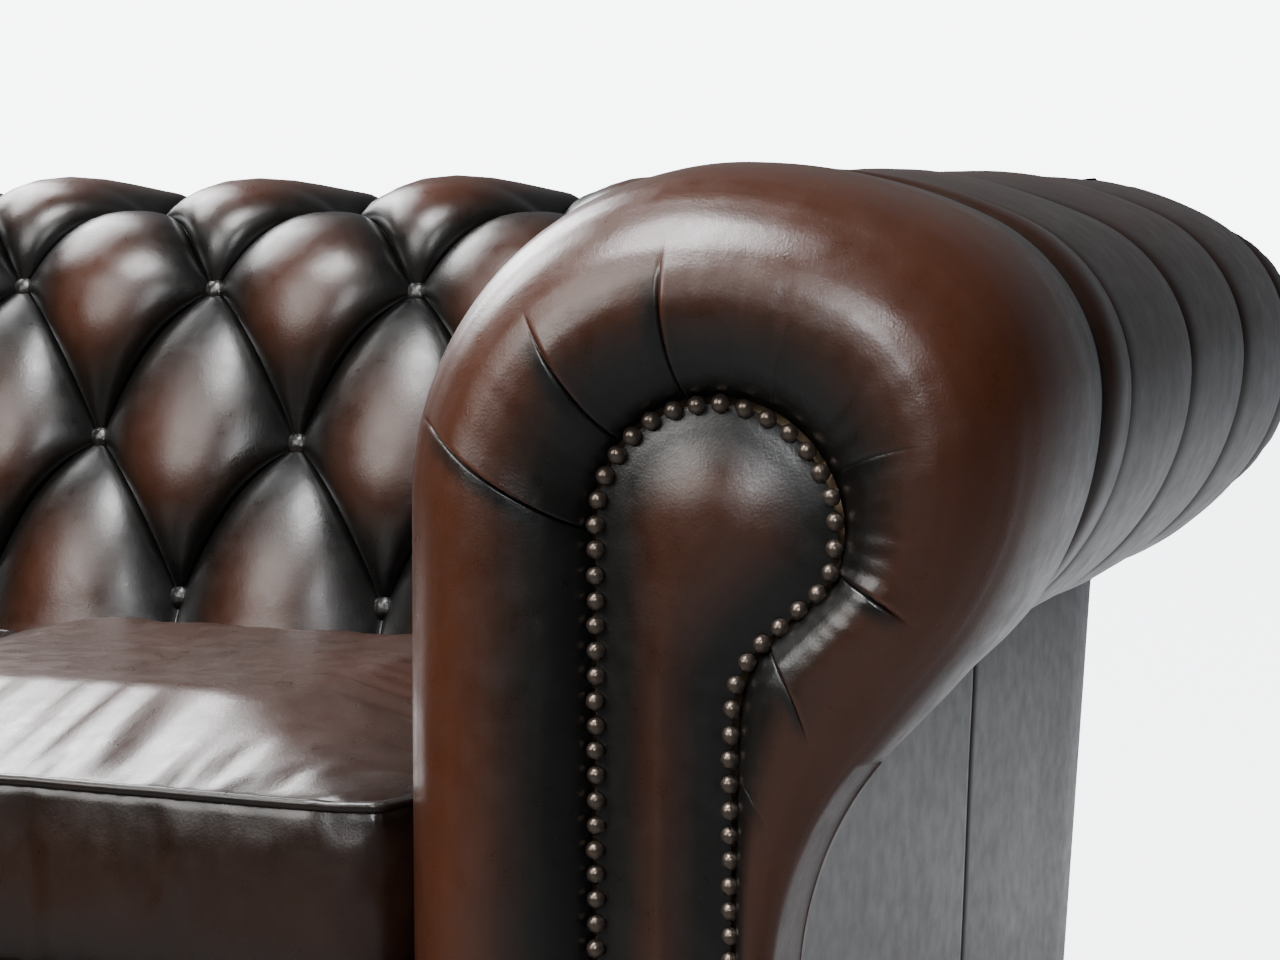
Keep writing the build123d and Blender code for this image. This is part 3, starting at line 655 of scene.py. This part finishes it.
def build_border():
    """The padded border: rows from the stud line over the rim, then back along the roll to its seam."""
    s0, so0 = border_grid()
    place = {a: near(studs, *a) for a, *rest in CREASES}
    mid = studs.at(s0) * (1 - LEAN_AT) + front.at(so0) * LEAN_AT
    lean = {a: s0[np.argmin(((mid - np.array(b)) ** 2).sum(1))] - place[a] for a, b, *rest in CREASES}
    close = np.array([-9, -6, -4, -2.4, -1.4, -0.7, -0.2, 0.2, 0.7, 1.4, 2.4, 4, 6, 9])
    s = np.unique(np.round(np.concatenate([s0] + [place[a] + close for a in place]), 2))
    s = s[(s >= 0) & (s <= studs.length)]
    cols = len(s)
    order = sorted(place, key=place.get)
    marks, leans = [place[a] for a in order], [lean[a] for a in order]
    shift = np.interp(s, [0] + marks + [studs.length], [0] + leans + [0])
    by_studs, rim = np.linspace(0, 0.3, 18), np.linspace(RIM_AT, 1, 14)
    w = np.concatenate([by_studs[:-1], np.linspace(0.3, RIM_AT, 22)[:-1], rim])
    fy = np.interp(w, PROFILE_W, PROFILE_Y)
    fy = np.convolve(np.pad(fy, 1, mode="edge"), [0.25, 0.5, 0.25], mode="valid")
    r = np.random.default_rng(11)
    waves = [(r.uniform(0.25, 0.9), r.uniform(0, 6.3), r.uniform(0.3, 1.0)) for _ in range(12)]
    gathered = smooth((s - near(studs, -71, 580)) / 60) * smooth((near(studs, 28, 539) - s) / 40)
    rows, tones = [], []
    for wi, yi in zip(w, fy):
        at = np.clip(s + shift * min(wi, 0.8) / LEAN_AT, 0, studs.length)
        so = np.interp(at, s0, so0)
        inner, outer, normal = studs.at(at), front.at(so), front.out(so)
        across = outer - inner
        inner = inner + across / np.linalg.norm(across, axis=1)[:, None] * STUD_GAP
        k = np.clip(np.linalg.norm(outer - inner, axis=1) / BORDER_W, 0.15, 1.1)
        soft = np.minimum(k, 1)
        fold, fold_highlight_shade = np.zeros(cols), np.zeros(cols)
        for a, b, lift, over, reach in CREASES:
            fade = smooth(wi / 0.06 + 0.35) * (1 - smooth((wi - reach + 0.32) / 0.32))
            ds = (s - place[a]) * over
            fold += lift * np.where(ds > 0, -np.exp(-ds / 20), 0.35 * np.exp(ds / 9)) * fade
            fold += 0.8 * lift * np.exp(-(ds / 0.9) ** 2) * fade
            # Painted highlight on the raised lip of each fold and painted shade on its low side.
            fold_highlight_shade += np.exp(-((ds - 1.6) / 1.3) ** 2) * fade * min(1, lift / 3.5)
            fold_highlight_shade -= 1.3 * np.exp(-((ds + 2.5) / 4.5) ** 2) * fade * min(1, lift / 3.5)
        fine = sum(a * np.sin(s * f + ph + wi * 4) for f, ph, a in waves) * RIPPLE
        fine *= (1 - smooth((wi - 0.30) / 0.5)) * smooth(wi / 0.05 + 0.3) * gathered
        swell = SWELL * np.sin(s * 0.021 + 1.0) * sin(pi * min(wi, 1.0))
        y = yi * k + (fold + fine - swell) * soft
        y = np.where(wi > RIM_AT, np.maximum(y, 46 * smooth((wi - RIM_AT) / 0.14) * (k < 0.6)), y)
        push = BULGE * smooth((wi - 0.6) / 0.35) * smooth(k / 0.8)
        p = inner + (outer - inner) * wi + normal * np.reshape(push, (-1, 1))
        rows.append(np.stack([ARM_X + p[:, 0], FRONT_Y + y, p[:, 1]], 1))
        # Border tone with the painted fold highlight and shade, and painted shade in the gathered ripples.
        tones.append(np.clip(np.interp(wi, TONE_W, TONE) + 0.42 * fold_highlight_shade - np.abs(fine) * 0.06, 0, 1))
    y_end = rows[-1][:, 1] - FRONT_Y
    v = so - near(front, -200, PAD_BOTTOM)
    on_roll = smooth((v - arm_rows[-1] + 30) / 40)
    stop = arm_roll.length - 85
    goal = y_end + 6 + np.maximum(FIRST_PLEAT - 3 - y_end, 0) * (1 - smooth((v - stop + 70) / 60))
    for q in np.unique(np.concatenate([crowd(25, 1.5)[1:], np.linspace(0.84, 1, 17)])):
        d = y_end + (goal - y_end) * q
        left = np.maximum(FIRST_PLEAT - d, 0)
        bulge = BULGE - 3.0 * (1 - smooth(left / 70)) * on_roll - SEAM_DIP * np.exp(-left / SEAM_WIDTH)
        sunk = INNER_SINK * smooth((arm_rows[-1] - 5 - v) / 45) * smooth(q * 5)
        p = front.at(so) + normal * (bulge * np.clip(k / 0.8, 0, 1) - sunk)[:, None]
        rows.append(np.stack([ARM_X + p[:, 0], FRONT_Y + d, p[:, 1]], 1))
        # Painted shade: the roll rows darken going back along the roll's side and in the seam of the first
        # pleat.
        dark = smooth((d - 78) / 75) * smooth((v - arm_rows[-1] + 90) / 180)
        tones.append(np.clip(0.85 - 0.45 * dark - 0.6 * np.exp(-left / 6), 0, 1))
    pts = np.concatenate(rows)
    return pts, grid_faces(len(rows), cols), np.concatenate(tones)


pts, faces, tone = build_border()
for side, flip in SIDES:
    obj = make(side + "_arm_front_border", pts, faces, hide, {"tone": tone}, flip)
    ride(obj, side + "_arm_border", fill=0.85)


def build_facing():
    """The domed panel inside the stud line, dark along its rim: painted shade in the hollow by the studs,
    partly the antique finish.
    """
    line = studs.p
    zs = np.concatenate([np.linspace(FLOOR, 480, 36)[:-1], np.linspace(480, 671.6, 60)])
    rows, tones = [], []
    c = crowd(33, 1.4)
    rim = studs.at(np.arange(0, studs.length, 4.0))
    right = line[studs.v > near(studs, 0, 672)]
    left = line[studs.v <= near(studs, 0, 672)]
    for z in zs:
        x0 = np.interp(z, left[:, 1], left[:, 0])
        order = np.argsort(right[:, 1])
        x1 = np.interp(z, right[order, 1], right[order, 0])
        x = x0 + (x1 - x0) * c
        gap = np.sqrt(((np.stack([x, 0 * x + z], 1)[:, None] - rim[None]) ** 2).sum(2)).min(1)
        dome = 0.1 * np.clip(gap / 12, 0, 1) + 0.9 * smooth(gap / 62)
        rows.append(np.stack([ARM_X + x, FRONT_Y + FACING_SET - FACING_RISE * dome, 0 * x + z], 1))
        # Painted shade along the rim by the studs.
        tones.append(0.10 + 0.66 * smooth((gap - 4) / 40))
    return np.concatenate(rows), grid_faces(len(zs), len(c)), np.concatenate(tones)


pts, faces, tone = build_facing()
for side, flip in SIDES:
    obj = make(side + "_arm_facing_panel", pts, faces, hide, {"tone": tone}, flip)
    ride(obj, side + "_arm_facing", fill=0.7)


def build_studs():
    count = int(studs.length / STUD_PITCH)
    gap = studs.length / count
    r = np.random.default_rng(5)
    ring, pts, faces = 18, [], []
    prof = [(5.3, 1.2), (5.35, 0.2), (5.0, -0.9), (4.2, -2.3), (3.0, -3.5), (1.6, -4.2)]
    for i in range(count):
        x, z = studs.at((i + 0.5) * gap)
        x, z = x + r.uniform(-0.4, 0.4), z + r.uniform(-0.4, 0.4)
        tip_x, tip_z = r.uniform(-0.08, 0.08, 2)
        base = len(pts)
        for rad, y in prof:
            a = np.arange(ring) * 2 * pi / ring
            wob = rad * (1 + 0.012 * np.sin(5 * a + i))
            px, pz = x + wob * np.cos(a), z + wob * np.sin(a)
            py = y + (px - x) * tip_x + (pz - z) * tip_z
            pts += np.stack([ARM_X + px, FRONT_Y + py - 0.6, pz], 1).tolist()
        pts.append([ARM_X + x, FRONT_Y - 5.0, z])
        faces += [f[::-1] for f in grid_faces(len(prof), ring, base, True)]
        top = base + (len(prof) - 1) * ring
        faces += [(top + (k + 1) % ring, top + k, len(pts) - 1) for k in range(ring)]
    return np.array(pts), faces


pts, faces = build_studs()
for side, flip in SIDES:
    obj = make(side + "_arm_stud_row", pts, faces, stud_metal, None, flip)
    ride(obj, side + "_arm_studs")


# Buttons in the dimples

def button_mesh(places):
    prof = [(10.2, -4.0), (10.6, 0.2), (10.0, 2.2), (8.2, 4.2), (5.4, 5.6), (2.6, 6.3)]
    ring, pts, faces = 20, [], []
    for n, (at, out, along) in enumerate(places):
        side = np.cross(out, along)
        base = len(pts)
        a = np.arange(ring) * 2 * pi / ring
        for rad, rise in prof:
            lift = rise + 0.35 * np.sin(4 * a + n) * (rad / 12)
            round_it = np.outer(np.cos(a) * rad, along) + np.outer(np.sin(a) * rad, side)
            pts += (at + round_it + np.outer(lift, out)).tolist()
        pts.append((at + out * 6.5).tolist())
        faces += grid_faces(len(prof), ring, base, True)
        top = base + (len(prof) - 1) * ring
        faces += [(top + k, top + (k + 1) % ring, len(pts) - 1) for k in range(ring)]
    return np.array(pts), faces


def back_button_places(lo_x, hi_x):
    out = []
    for k, v in enumerate(back_rows):
        shift = back_u0 + (BACK_W / 2 if k % 2 else 0)
        for i in range(-14, 6):
            u = shift + i * BACK_W
            if lo_x < u < hi_x and back_corner(v) + 30 < u < min(back_hi(v), SEAT_END + 40) - 25:
                p, n = back_roll.at(v), back_roll.out(v)
                d, z = back_to_world(p[0], p[1])
                nd, nz = n[0] * cos(RAKE) + n[1] * sin(RAKE), n[1] * cos(RAKE) - n[0] * sin(RAKE)
                at = np.array([u, FRONT_Y + d, z]) + np.array([0, nd, nz]) * -BUTTON_SINK
                out.append((at, np.array([0, nd, nz]), np.array([1.0, 0, 0])))
    return out


def arm_button_places():
    out = []
    for k, v in enumerate(arm_rows):
        for i in range(4):
            u = arm_u0 + (ARM_W / 2 if k % 2 else 0) + i * ARM_W
            if u < arm_hi(v) - 40:
                p, n = arm_roll.at(v), arm_roll.out(v)
                out_way = np.array([n[0], 0, n[1]])
                at = np.array([ARM_X + p[0], FRONT_Y + u, p[1]]) - out_way * BUTTON_SINK
                out.append((at, out_way, np.array([0, 1.0, 0])))
    return out


# Covered buttons painted dark: painted shade for buttons deep in their dimples.
BUTTON_SHADE_TONE = 0.22
right_buttons = button_mesh(back_button_places(SECTION - 5, HALF))
corner_buttons = button_mesh(back_button_places(-HALF, SECTION - 5))
arm_buttons = button_mesh(arm_button_places())
for side, flip in SIDES:
    for name, (pts, faces), node in (
        ("back", right_buttons, side + "_back_buttons"),
        ("arm", arm_buttons, side + "_arm_buttons"),
    ):
        tone = np.full(len(pts), BUTTON_SHADE_TONE)
        obj = make(f"{side}_{name}_covered_buttons", pts, faces, hide, {"tone": tone}, flip)
        ride(obj, node)
    pts, faces = corner_buttons
    tone = np.full(len(pts), BUTTON_SHADE_TONE)
    obj = make(f"corner_{side}_covered_buttons", pts, faces, hide, {"tone": tone}, flip)
    if flip:
        ride(obj)
    else:
        ride(obj, "corner_back_buttons")


# Flat leather panels with seams

PANEL_SPAN = 1400.0


def seamed_panel(corner_rows, normal, seams, proud, cols=80, rows=26):
    """A panel between two edge lines, softly padded, with seams across it at shares of its length."""
    a, b = (np.array(e, float) for e in corner_rows)
    close = np.array([-7, -3, -1, 0, 1, 3, 7]) / PANEL_SPAN
    c = np.unique(np.concatenate([np.linspace(0, 1, cols)] + [s + close for s in seams]))
    r = crowd(rows, 1.3)
    rr, cc = np.meshgrid(r, c, indexing="ij")
    low = a[0] + (a[1] - a[0]) * cc[..., None]
    high = b[0] + (b[1] - b[0]) * cc[..., None]
    p = low + (high - low) * rr[..., None]
    edge = np.minimum(np.minimum(rr, 1 - rr) * 6, 1) * np.minimum(np.minimum(cc, 1 - cc) * 12, 1)
    lift = proud * (edge * (2 - edge))
    # Tone darker towards the panel edges where the padding falls away: painted shade, partly the antique
    # finish; darker at the seams.
    tone = 0.30 + 0.34 * edge
    for s in seams:
        near_seam = np.exp(-((cc - s) * PANEL_SPAN / 3.2) ** 2)
        lift = lift - 3.0 * near_seam
        tone = tone - 0.30 * near_seam
    lift = lift + lumpy(cc * 900, rr * 500, 21) * 0.5 * edge
    p = p + lift[..., None] * np.array(normal, float)
    return p.reshape(-1, 3), grid_faces(len(r), len(c)), tone.ravel()


out_n = BACK_CORE + 8
low_s = (FLOOR - DECK) / cos(RAKE) + out_n * tan(RAKE)
core_top = ROLL_RISE - (ROLL ** 2 - (BACK_CORE - ROLL) ** 2) ** 0.5
low_d, low_z = back_to_world(out_n, low_s)
high_d, high_z = back_to_world(out_n, core_top + 14)
rear_normal = (0, cos(RAKE), -sin(RAKE))
arm_out = ARM_X + ARM_SIDE


def outside_back(x0, x1, x0_top, seams):
    low = [(x1, FRONT_Y + low_d, low_z), (x0, FRONT_Y + low_d, low_z)]
    high = [(x1, FRONT_Y + high_d, high_z), (x0_top, FRONT_Y + high_d, high_z)]
    return seamed_panel((low, high), rear_normal, seams, 4.0)


wing_back = outside_back(SECTION, arm_out, SECTION, (0.33, 0.66))
corner_back = outside_back(-FRONT_Y - low_d, SECTION, -FRONT_Y - high_d, (0.5,))
panels = [
    ("outside_back", wing_back, "{}_outside_back"),
    ("corner_outside_back", corner_back, "corner_outside_backs"),
]
arm_tuck = arm_roll.p[-1][1]
arm_low = [(arm_out, FRONT_Y + 45, FLOOR), (arm_out, FRONT_Y + low_d, FLOOR)]
raise_d = low_d + (high_d - low_d) * (arm_tuck + 12 - low_z) / (high_z - low_z)
arm_high = [(arm_out, FRONT_Y + 45, arm_tuck + 12), (arm_out, FRONT_Y + raise_d, arm_tuck + 12)]
panels.append(("outside_arm", seamed_panel((arm_low, arm_high), (1, 0, 0), (0.53,), 4.0), "{}_outside_arm"))
wedge_low = [(arm_out - 1, FRONT_Y + 780, arm_tuck - 20), (arm_out - 1, FRONT_Y + raise_d, arm_tuck - 20)]
wedge_high = [(arm_out - 1, FRONT_Y + 800, high_z - 6), (arm_out - 1, FRONT_Y + high_d, high_z - 6)]
panels.append(("outside_arm_rear", seamed_panel((wedge_low, wedge_high), (1, 0, 0), (), 1.0, 14, 14), None))
front_low = [(SECTION, FRONT_Y + 2, FLOOR), (SEAT_END + 14, FRONT_Y + 2, FLOOR)]
front_high = [(SECTION, FRONT_Y + 2, DECK + 4), (SEAT_END + 14, FRONT_Y + 2, DECK + 4)]
front_panel = seamed_panel((front_low, front_high), (0, -1, 0), (0.5,), 5.0)
panels.append(("front_border_panel", front_panel, "{}_front_border"))
for name, (pts, faces, tone), node in panels:
    for side, flip in SIDES:
        obj = make(f"{side}_{name}", pts, faces, smooth_hide, {"tone": tone}, flip)
        if node is None or (node == "corner_outside_backs" and flip):
            ride(obj)
        else:
            ride(obj, node.format(side))


# Seat cushions

CUSHION_STEPS, SIDE_BANDS = 73, 12
CUSHION_INSET, CUSHION_EDGE, CUSHION_CROWN = 5.0, 126.0, 14.0
PULL_IN, CORNER_CUT, CUSHION_GAP = 0.016, 0.035, 1.5
PIPING, PIPING_TONE = 3.6, 0.4


def cushion_shape(x0, x1, y0, y1):
    """A boxed cushion case as a closed skin, a little slack, and its two seam rings."""
    n = CUSHION_STEPS
    sx, sy = (x1 - x0) / 2 - CUSHION_INSET, (y1 - y0) / 2 - CUSHION_INSET
    cx, cy = (x0 + x1) / 2, (y0 + y1) / 2
    steps = np.linspace(-1, 1, n)
    bb, aa = np.meshgrid(steps, steps, indexing="ij")
    px = aa * sx * (1 - PULL_IN * (1 - bb ** 2) * np.abs(aa) ** 3)
    py = bb * sy * (1 - PULL_IN * (1 - aa ** 2) * np.abs(bb) ** 3)
    corner = np.clip((np.abs(aa) + np.abs(bb) - 1.84) / 0.16, 0, 1)
    px, py = px * (1 - CORNER_CUT * corner), py * (1 - CORNER_CUT * corner)
    dome = (1 - aa ** 4) * (1 - bb ** 4)
    top = DECK + CUSHION_EDGE + CUSHION_CROWN * dome ** 0.6
    grid = np.stack([cx + px, cy + py, top], -1).reshape(-1, 3)
    loop = np.array(
        [i for i in range(n)] + [j * n + n - 1 for j in range(1, n)]
        + [(n - 1) * n + i for i in range(n - 2, -1, -1)] + [j * n for j in range(n - 2, 0, -1)]
    )
    ring = grid[loop]
    floor_z = DECK + 5
    # Tone lighter where the case domes on top, darker towards its edges: painted shade, partly the antique
    # finish.
    points, tones, faces = [grid], [(0.46 + 0.34 * dome ** 0.5).ravel()], grid_faces(n, n)
    away = ring[:, :2] - [cx, cy]
    away = away / np.linalg.norm(away, axis=1)[:, None]
    count, here = len(loop), loop
    for k in range(1, SIDE_BANDS):
        t = k / SIDE_BANDS
        layer = ring.copy()
        layer[:, :2] += away * 3.0 * sin(pi * t)
        layer[:, 2] = ring[:, 2] + (floor_z - ring[:, 2]) * t
        start = n * n + (k - 1) * count
        points.append(layer)
        # Side bands lighter at the bulge, darker towards the seams: painted shade, partly the antique
        # finish.
        tones.append(np.full(count, 0.36 + 0.20 * sin(pi * t)))
        faces += band_faces(here, start + np.arange(count))
        here = start + np.arange(count)
    base = n * n + (SIDE_BANDS - 1) * count
    under = grid.copy()
    under[:, 2] = floor_z
    points.append(under)
    # Painted shade on the underside.
    tones.append(np.full(n * n, 0.35))
    faces += band_faces(here, base + loop)
    faces += [f[::-1] for f in grid_faces(n, n, base)]
    return np.concatenate(points), faces, np.concatenate(tones), loop, base + loop


def band_faces(upper, lower):
    count = len(upper)
    return [(upper[i], lower[i], lower[(i + 1) % count], upper[(i + 1) % count]) for i in range(count)]


SIM_FRAMES, SIM_REACH = 14, 0.026


def inflate(obj, seams, limits):
    """Blows the case up as cloth held along its seams, within the room that its neighbours leave."""
    mesh = obj.data
    start = np.empty(len(mesh.vertices) * 3)
    mesh.vertices.foreach_get("co", start)
    start = start.reshape(-1, 3)
    moved = start.copy()
    held = obj.vertex_groups.new(name="seams")
    held.add([int(i) for i in seams], 0.8, "REPLACE")
    cloth = obj.modifiers.new("case", "CLOTH")
    sett = cloth.settings
    sett.quality = 6
    sett.mass = 0.3
    sett.tension_stiffness = 25
    sett.compression_stiffness = 12
    sett.shear_stiffness = 10
    sett.bending_stiffness = 0.8
    sett.use_pressure = True
    sett.uniform_pressure_force = 4.0
    sett.shrink_min = -0.018
    sett.vertex_group_mass = "seams"
    sett.pin_stiffness = 0.8
    sett.effector_weights.gravity = 0
    cloth.collision_settings.use_self_collision = False
    cloth.point_cache.frame_start = 1
    cloth.point_cache.frame_end = SIM_FRAMES
    for k in range(1, SIM_FRAMES + 1):
        bpy.context.scene.frame_set(k)
    shaped = obj.evaluated_get(bpy.context.evaluated_depsgraph_get()).to_mesh()
    got = np.empty(len(shaped.vertices) * 3)
    shaped.vertices.foreach_get("co", got)
    step = got.reshape(-1, 3) - start
    far = np.linalg.norm(step, axis=1)
    moved = start + step * np.minimum(1, SIM_REACH / np.maximum(far, 1e-9))[:, None]
    obj.modifiers.clear()
    obj.vertex_groups.clear()
    bpy.context.scene.frame_set(1)
    moved = np.clip(moved, limits[0], limits[1])
    mesh.vertices.foreach_set("co", moved.ravel())
    mesh.update()
    return moved * 1000


def tube(ring, radius, sides=8):
    """A closed piping cord along a ring of points."""
    nxt, prv = np.roll(ring, -1, 0), np.roll(ring, 1, 0)
    t = nxt - prv
    t /= np.linalg.norm(t, axis=1)[:, None]
    up = np.array([0, 0, 1.0])
    side = np.cross(t, up)
    side /= np.linalg.norm(side, axis=1)[:, None]
    rise = np.cross(side, t)
    pts, count = [], len(ring)
    for k in range(sides):
        a = 2 * pi * k / sides
        pts.append(ring + radius * (np.cos(a) * side + np.sin(a) * rise))
    faces = []
    for k in range(sides):
        for i in range(count):
            j, l = (i + 1) % count, (k + 1) % sides
            faces.append((k * count + i, k * count + j, l * count + j, l * count + i))
    return np.concatenate(pts), faces


def cushion_boxes():
    """Each cushion's room on the right wing, and whether it is mirrored to the left."""
    y0, y1 = FRONT_Y + 6, FRONT_Y + SEAT_DEPTH - 2
    wide, gap = (SEAT_END - SECTION) / 2, CUSHION_GAP
    inner = (SECTION + gap, SECTION + wide - gap, y0, y1)
    outer = (SECTION + wide + gap, SEAT_END - gap, y0, y1)
    return {
        "right_cushion_inner": (*inner, False),
        "right_cushion_outer": (*outer, False),
        "left_cushion_inner": (*inner, True),
        "left_cushion_outer": (*outer, True),
        "corner_cushion": (-y1, SECTION - gap, FRONT_Y + gap, y1, False),
    }


def cushion_room(x0, x1, y0, y1, flip):
    low, high = np.array([x0, y0, DECK + 1]) * 0.001, np.array([x1, y1, DECK + 170]) * 0.001
    if flip:
        low[:2], high[:2] = -high[1::-1], -low[1::-1]
    return low, high


for node, (x0, x1, y0, y1, flip) in cushion_boxes().items():
    pts, faces, tone, upper, lower = cushion_shape(x0, x1, y0, y1)
    obj = make(node + "_case", pts, faces, hide, {"tone": tone}, flip)
    shaped = inflate(obj, np.concatenate([upper, lower]), cushion_room(x0, x1, y0, y1, flip))
    ride(obj, node, body=node + "_body", fill=0.8)
    for ring, name in ((upper, "top"), (lower, "bottom")):
        cp, cf = tube(shaped[ring], PIPING)
        tone = np.full(len(cp), PIPING_TONE)
        piping = make(f"{node}_{name}_piping", cp, cf, hide, {"tone": tone}, False)
        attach(piping, node + "_body")


# Turned feet

def build_feet():
    prof = [(0, 0), (26, 0), (29, 2), (38, 12), (42.5, 26), (43, 38), (40, 52), (33, 63), (28.5, 68)]
    prof += [(27.5, 71), (29, 73), (33, 75), (34.5, 78), (33.5, 81), (30.5, 83), (30, 86), (30, 92), (0, 92)]
    block, rail = 45.0, 28.0
    wing_x = (SECTION + rail + block, ARM_X + 14 - rail - block)
    rows_y = (FRONT_Y + 20 + rail + block, FRONT_Y + 690 - block)
    right = [(x, y) for x in wing_x for y in rows_y]
    inner, far = SECTION - rail - block, -rows_y[1]
    places = right + [(-y, -x) for x, y in right] + [(x, -y) for x in (inner, far) for y in (inner, far)]
    ring, pts, faces = 40, [], []
    a = np.arange(ring) * 2 * pi / ring
    for x, y in places:
        base = len(pts)
        for rad, z in prof:
            pts += np.stack([x + rad * np.cos(a), y + rad * np.sin(a), 0 * a + z], 1).tolist()
        faces += grid_faces(len(prof), ring, base, True)
    return np.array(pts), faces


pts, faces = build_feet()
ride(make("turned_feet", pts, faces, foot_wood, None, False), "bun_feet")

# What stays CAD keeps its own shape and takes a finish
for name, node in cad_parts.items():
    if "spring" in name or "bolts" in name or "nuts" in name:
        mat = steel
    elif "deck" in name or "dust" in name:
        mat = lining
    else:
        mat = frame_wood
    node.data.materials.clear()
    node.data.materials.append(mat)

# Floor, light and camera

BACKDROP, WALL, CAMERA_GLOW = 7.5, 0.16, 0.72


def pale_floor():
    """White to the eye; where the leather mirrors it, dull in front of the sofa and pale behind."""
    m, nodes, links, bsdf = material("pale floor")
    shade = ramp(nodes, [(0.0, (0.86, 0.88, 0.90)), (1.0, (0.12, 0.123, 0.126))])
    split = nodes.new("ShaderNodeSeparateXYZ")
    links.new(nodes.new("ShaderNodeTexCoord").outputs["Object"], split.inputs[0])
    ahead = nodes.new("ShaderNodeMapRange")
    links.new(split.outputs["Y"], ahead.inputs["Value"])
    ahead.inputs["From Min"].default_value = 1.4
    ahead.inputs["From Max"].default_value = 0.2
    mirrored = nodes.new("ShaderNodeLightPath").outputs["Is Glossy Ray"]
    links.new(maths(nodes, links, "MULTIPLY", ahead.outputs["Result"], mirrored), shade.inputs["Fac"])
    links.new(shade.outputs["Color"], bsdf.inputs["Base Color"])
    bsdf.inputs["Roughness"].default_value = 0.8
    glow, mix = nodes.new("ShaderNodeEmission"), nodes.new("ShaderNodeMixShader")
    glow.inputs["Color"].default_value = (0.93, 0.96, 1.0, 1)
    glow.inputs["Strength"].default_value = BACKDROP
    seen = nodes.new("ShaderNodeLightPath").outputs["Is Camera Ray"]
    links.new(maths(nodes, links, "MULTIPLY", seen, CAMERA_GLOW), mix.inputs["Fac"])
    links.new(bsdf.outputs[0], mix.inputs[1])
    links.new(glow.outputs[0], mix.inputs[2])
    links.new(mix.outputs[0], nodes["Material Output"].inputs["Surface"])
    return m


bpy.ops.mesh.primitive_plane_add(size=60, location=(0, 0, 0))
floor = bpy.context.object
floor.name = "floor"
floor.data.materials.append(pale_floor())


def studio():
    """A white room; the leather mirrors it as dim in front and pale behind and overhead."""
    world = bpy.data.worlds.new("studio")
    bpy.context.scene.world = world
    world.use_nodes = True
    nodes, links = world.node_tree.nodes, world.node_tree.links
    room = nodes["Background"]
    room.inputs["Color"].default_value = (0.90, 0.945, 1.0, 1)
    room.inputs["Strength"].default_value = 0.40
    sky = nodes.new("ShaderNodeBackground")
    split = nodes.new("ShaderNodeSeparateXYZ")
    links.new(nodes.new("ShaderNodeTexCoord").outputs["Generated"], split.inputs[0])
    dim, low, overhead = (0.02, 0.022, 0.025), (0.05, 0.055, 0.06), (0.15, 0.157, 0.17)
    shade = ramp(nodes, [(0.0, low), (0.35, dim), (1.0, overhead)])
    links.new(split.outputs["Z"], shade.inputs["Fac"])
    links.new(shade.outputs["Color"], sky.inputs["Color"])
    wall, pale = nodes.new("ShaderNodeBackground"), nodes.new("ShaderNodeAddShader")
    behind = ramp(nodes, [(0.10, (0, 0, 0)), (0.80, (0.93, 0.965, 1.0))])
    links.new(split.outputs["Y"], behind.inputs["Fac"])
    links.new(behind.outputs["Color"], wall.inputs["Color"])
    wall.inputs["Strength"].default_value = WALL
    links.new(sky.outputs[0], pale.inputs[0])
    links.new(wall.outputs[0], pale.inputs[1])
    backdrop = nodes.new("ShaderNodeBackground")
    backdrop.inputs["Color"].default_value = (0.93, 0.965, 1.0, 1)
    backdrop.inputs["Strength"].default_value = BACKDROP
    path = nodes.new("ShaderNodeLightPath")
    mix, seen = nodes.new("ShaderNodeMixShader"), nodes.new("ShaderNodeMixShader")
    links.new(path.outputs["Is Glossy Ray"], mix.inputs["Fac"])
    links.new(room.outputs[0], mix.inputs[1])
    links.new(pale.outputs[0], mix.inputs[2])
    links.new(path.outputs["Is Camera Ray"], seen.inputs["Fac"])
    links.new(mix.outputs[0], seen.inputs[1])
    links.new(backdrop.outputs[0], seen.inputs[2])
    links.new(seen.outputs[0], nodes["World Output"].inputs["Surface"])


studio()


def area(name, place, target, size, power, colour=(1, 1, 1)):
    lamp = bpy.data.lights.new(name, "AREA")
    lamp.shape = "RECTANGLE"
    lamp.size, lamp.size_y = size
    lamp.energy = power
    lamp.color = colour
    obj = bpy.data.objects.new(name, lamp)
    bpy.context.scene.collection.objects.link(obj)
    obj.visible_camera = False
    obj.location = place
    obj.rotation_euler = (Vector(target) - Vector(place)).to_track_quat("-Z", "Y").to_euler()
    return obj


area("softbox", (-0.45, -1.2, 1.7), (0.9, 0.6, 0.6), (1.4, 1.0), 40, (1, 0.985, 0.96))
area("ceiling", (0.4, -0.15, 2.2), (1.0, 0.5, 0.7), (0.8, 0.8), 72)
area("left rim", (-0.6, 1.2, 1.75), (0.95, 0.33, 0.75), (1.0, 0.6), 30)
area("rear fill", (-2.4, 3.0, 2.6), (-0.3, 0.6, 0.5), (1.8, 1.8), 110)
area("front strip", (1.3, -1.15, 1.45), (1.2, 0.4, 0.68), (0.2, 0.7), 18, (0.97, 0.985, 1))

camera_data = bpy.data.cameras.new("camera")
camera_data.sensor_width = 36.0
camera_data.lens = 85.4
camera_data.clip_end = 60
camera = bpy.data.objects.new("camera", camera_data)
bpy.context.scene.collection.objects.link(camera)
CAMERA_ASIDE, CAMERA_BACK, CAMERA_UP = 559.0, 1579.0, 0.785
CAMERA_DIP, CAMERA_TURN = 5.3, 20.9
camera.location = ((ARM_X + CAMERA_ASIDE) * 0.001, (FRONT_Y - CAMERA_BACK) * 0.001, CAMERA_UP)
camera.rotation_euler = (radians(90 - CAMERA_DIP), 0, radians(CAMERA_TURN))
bpy.context.scene.camera = camera
